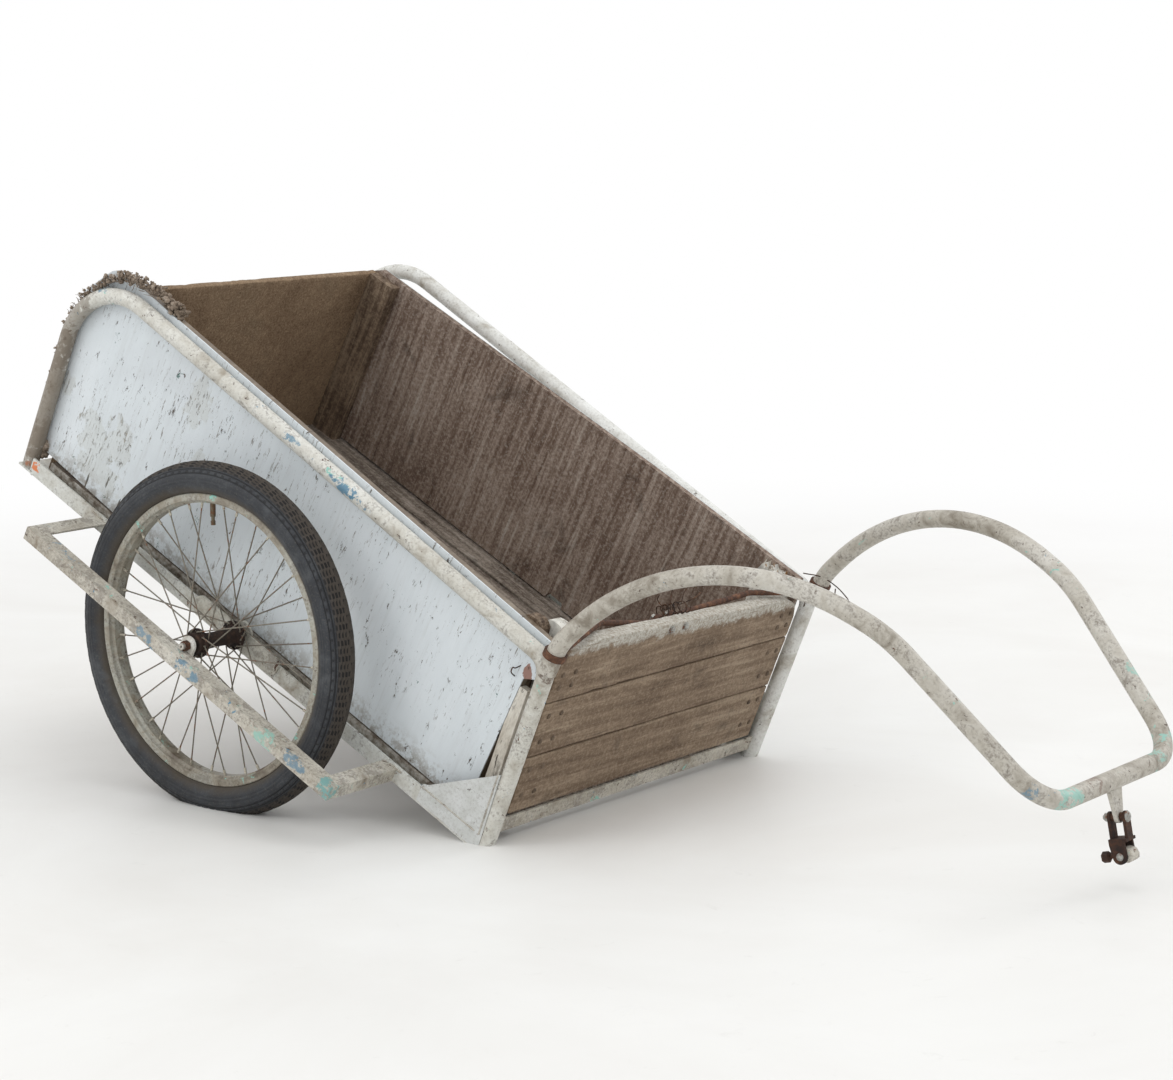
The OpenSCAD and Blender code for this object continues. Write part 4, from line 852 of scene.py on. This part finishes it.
def lashing():
    """Thin wire round the tie rods beside the bolts, at the far front corner and on the near panel."""
    rnd = random.Random(21)
    bag = Bag()
    for k in range(4):
        c = Vector((-58 + k * 2, -30 + k * 12, 306 + k * 2))
        pts = []
        for i in range(15):
            a = i / 14 * math.tau * 1.6 + k
            pts.append(row(c + Vector((9 * math.cos(a) + rnd.uniform(-1, 1), i * 1.3 - 9, 9 * math.sin(a)))))
        tube(bag, smooth_path(pts, 3), 0.0008, 6)
    for a, b, c in (((-62, 18, 308), (-66, 22, 330), (-58, 30, 352)), ((-60, -20, 306), (-70, -34, 318),
            (-64, -48, 334)),
                    ((-58, 10, 312), (-50, 26, 326), (-54, 44, 330)), ((-64, 0, 300), (-78, 8, 322),
                        (-74, 4, 340))):
        tube(bag, smooth_path([row(a), row(b), row(c)], 6), 0.0007, 6)
    make("lashing_wire", bag.v, bag.f, wire_mat)
    bag = Bag()
    tube(bag, smooth_path([row((-44, 300, 326)), row((-20, 312, 333)), row((4, 322, 330)),
                           row((22, 330, 322)), row((24, 338, 316))], 8), 0.0009, 6)
    tube(bag, smooth_path([row((8, 314, 330)), row((14, 311, 322)), row((24, 314, 312)),
                           row((28, 324, 306))], 8), 0.0009, 6)
    make("corner_wire", bag.v, bag.f, wire_mat)
    bag = Bag()
    tube(bag, smooth_path([row((-70, -311, 262)), row((-74, -315, 256)), row((-80, -312, 252)),
                           row((-78, -314, 246)), row((-72, -311, 243))], 6), 0.0009, 6)
    make("panel_wire", bag.v, bag.f, wire_mat)


lashing()


def splinters():
    """Broken white end of the far front post, with a few standing slivers of bare wood."""
    rnd = random.Random(3)
    bag, bare = Bag(), Bag()
    for i in range(26):
        x0 = -26 - i * 1.9 + rnd.uniform(-1, 1)
        y0 = 277 + rnd.uniform(0, 17)
        h = rnd.uniform(4, 15) * (1.2 if i % 5 == 0 else 0.8)
        w, d = rnd.uniform(1.2, 2.6), rnd.uniform(1.2, 2.4)
        base = 310 + rnd.uniform(-2, 4)
        lx, ly = rnd.uniform(-4, 3), rnd.uniform(-2, 2)
        v = [lean_row((x0 - w, y0 - d, base)), lean_row((x0 + w, y0 - d, base)),
             lean_row((x0 + w * 0.8, y0 + d, base)), lean_row((x0 - w, y0 + d, base)),
             lean_row((x0 - w * 0.5 + lx * 0.6, y0 - d * 0.4 + ly * 0.5, base + h * 0.6)),
             lean_row((x0 + w * 0.5 + lx * 0.6, y0 - d * 0.4 + ly * 0.5, base + h * 0.55)),
             lean_row((x0 + w * 0.3 + lx * 0.6, y0 + d * 0.5 + ly * 0.5, base + h * 0.6)),
             lean_row((x0 + lx, y0 + ly, base + h))]
        f = [(0, 3, 2, 1), (0, 1, 5, 4), (1, 2, 6, 5), (2, 3, 4, 6), (3, 0, 4), (4, 5, 7), (5, 6, 7),
             (6, 4, 7)]
        (bare if i % 3 == 0 else bag).put(v, f)
    make("post_splinters", bag.v, bag.f, WHITE_WOOD, smooth=False)
    make("post_splinters_bare", bare.v, bare.f, bare_wood, smooth=False)


splinters()

# ---- materials and edge bevels of the CAD nodes that stay ----------------------------------------
KEEP = {
    "side_tube_right": frame_paint, "side_tube_left": far_paint, "bottom_rail_right": rail_paint,
    "bottom_rail_left": rail_paint,
    "gussets": gusset_paint, "cross_member_front": outrig_paint, "cross_member_mid": rail_paint,
    "cross_member_rear": rail_paint,
    "outrigger_right": outrig_paint, "outrigger_left": outrig_paint, "axle_brackets": bracket_paint,
    "axle_plates": plate_paint,
    "axle_right": bright_steel, "axle_left": bright_steel, "axle_cones": hub_iron, "axle_nuts": orange_rust,
    "hub_right": hub_iron, "hub_left": hub_iron, "hub_balls_right": bright_steel,
    "hub_balls_left": bright_steel,
    "spokes_right": spoke_steel, "spokes_left": spoke_steel, "nipples_right": nipple_steel,
    "nipples_left": nipple_steel,
    "rim_right": rim_paint, "rim_left": rim_paint, "inner_tube_right": dark_iron,
    "inner_tube_left": dark_iron,
    "valve_right": brass_mat, "valve_left": brass_mat, "panel_right": panel_paint(), "panel_left": far_wood,
    "floor_plank_edge": floor_wood, "post_front_right_outer": rear_post_wood,
    "post_front_right_inner": post_wood, "post_front_left": post_wood,
    "posts_rear": rear_post_wood, "battens": WHITE_WOOD, "plank_screws": screw_mat, "drawbow": bow_paint,
    "tie_rod_right": orange_rust, "tie_rod_left": orange_rust, "tie_bolts": bolt_steel,
    "hitch_tab": bow_paint,
    "hitch_clevis": dark_iron, "hitch_pivot_bolt": bolt_steel, "hitch_spacers": orange_rust,
    "swivel_block": outrig_paint,
    "swivel_bolt": bolt_steel, "clamp_screw": dark_iron,
}
for n, mat in KEEP.items():
    ob = NODES[n]
    ob.data.materials.clear()
    ob.data.materials.append(mat)
BEVELS = {"panel_right": 0.0015, "panel_left": 0.0012, "gussets": 0.0006, "bottom_rail_right": 0.0006,
          "bottom_rail_left": 0.0006, "outrigger_right": 0.0008,
          "outrigger_left": 0.0008, "axle_brackets": 0.0006, "axle_plates": 0.0006, "axle_nuts": 0.0006,
          "post_front_right_outer": 0.002,
          "post_front_right_inner": 0.002, "post_front_left": 0.0012, "posts_rear": 0.002, "battens": 0.0015,
          "floor_plank_edge": 0.0015,
          "hitch_tab": 0.001, "hitch_clevis": 0.0009, "swivel_block": 0.0015, "clamp_screw": 0.0007,
          "tie_bolts": 0.0005,
          "cross_member_front": 0.0005}
for n, w in BEVELS.items():
    b = NODES[n].modifiers.new("bevel", "BEVEL")
    b.width, b.segments, b.limit_method, b.angle_limit = w, 2, "ANGLE", BEVEL_ANGLE

# ---- stage, light and camera ---------------------------------------------------------------------
me = bpy.data.meshes.new("studio_floor")
corners = [(-STUDIO, -STUDIO, 0), (STUDIO, -STUDIO, 0), (STUDIO, STUDIO, 0), (-STUDIO, STUDIO, 0)]
me.from_pydata(corners, [], [(0, 1, 2, 3)])
floor = bpy.data.objects.new("studio_floor", me)
bpy.context.scene.collection.objects.link(floor)
fm = Mat("studio_floor")
fcol = fm.ramp(fm.noise(1.7, 5, 0.6, 0.5), [(0.35, lin(225, 224, 221)), (0.65, lin(231, 231, 229))])
fcol = fm.mix(fm.times(fm.step(fm.noise(24, 8, 0.75, 0.6), 0.60, 0.72), 0.10), fcol, lin(150, 146, 138))
fm.done(fcol, fm.plus(fm.times(fm.noise(5, 5), 0.2), 0.42), fm.bump(fm.noise(60, 6, 0.6), 0.0006, 0.3))
distance = fm.add("VectorMath", ins={0: fm.tc}, operation="LENGTH").outputs["Value"]
glow = fm.add("Emission", ins={"Color": (1, 1, 1, 1), "Strength": 1.0})
blend = fm.add("MixShader", ins={0: fm.step(distance, *FADE), 1: fm.bsdf.outputs[0], 2: glow.outputs[0]})
fm.nt.links.new(blend.outputs[0], fm.nt.nodes["Material Output"].inputs[0])
me.materials.append(fm.m)

world = bpy.data.worlds.new("studio")
world.use_nodes = True
bg = world.node_tree.nodes["Background"]
bg.inputs[0].default_value = (1.0, 1.0, 1.0, 1)
bg.inputs[1].default_value = 1.0
bpy.context.scene.world = world


def area(name, loc, target, size, power, color=(1, 1, 1)):
    d = bpy.data.lights.new(name, "AREA")
    d.shape, d.size, d.energy, d.color = "DISK", size, power, color
    o = bpy.data.objects.new(name, d)
    o.location = loc
    o.rotation_euler = (Vector(target) - Vector(loc)).to_track_quat("-Z", "Y").to_euler()
    bpy.context.scene.collection.objects.link(o)


area("key", (-1.6, -3.4, 3.0), (-0.2, 0, 0.3), 1.8, 26, (1.0, 0.99, 0.97))
area("top", (0.2, -0.3, 3.6), (0, 0, 0.2), 2.6, 16)
area("rim", (1.6, 3.2, 2.4), (0, 0, 0.3), 1.6, 20)

cam = bpy.data.cameras.new("camera")
cam.lens, cam.sensor_width, cam.sensor_fit = 88.915, 36.0, "HORIZONTAL"
cam.clip_end = 60
co = bpy.data.objects.new("camera", cam)
right, down, fwd = Vector((0.799861, 0.600185, 0.000484)), Vector((0.097266, -0.128830,
    -0.986885)), Vector((-0.592251, 0.789418, -0.161424))
mw = Matrix((right, -down, -fwd)).transposed().to_4x4()
mw.translation = Vector((2.4354, -3.2826, 1.0395))
co.matrix_world = mw
bpy.context.scene.collection.objects.link(co)
bpy.context.scene.camera = co
bpy.context.scene.view_settings.view_transform = "Standard"
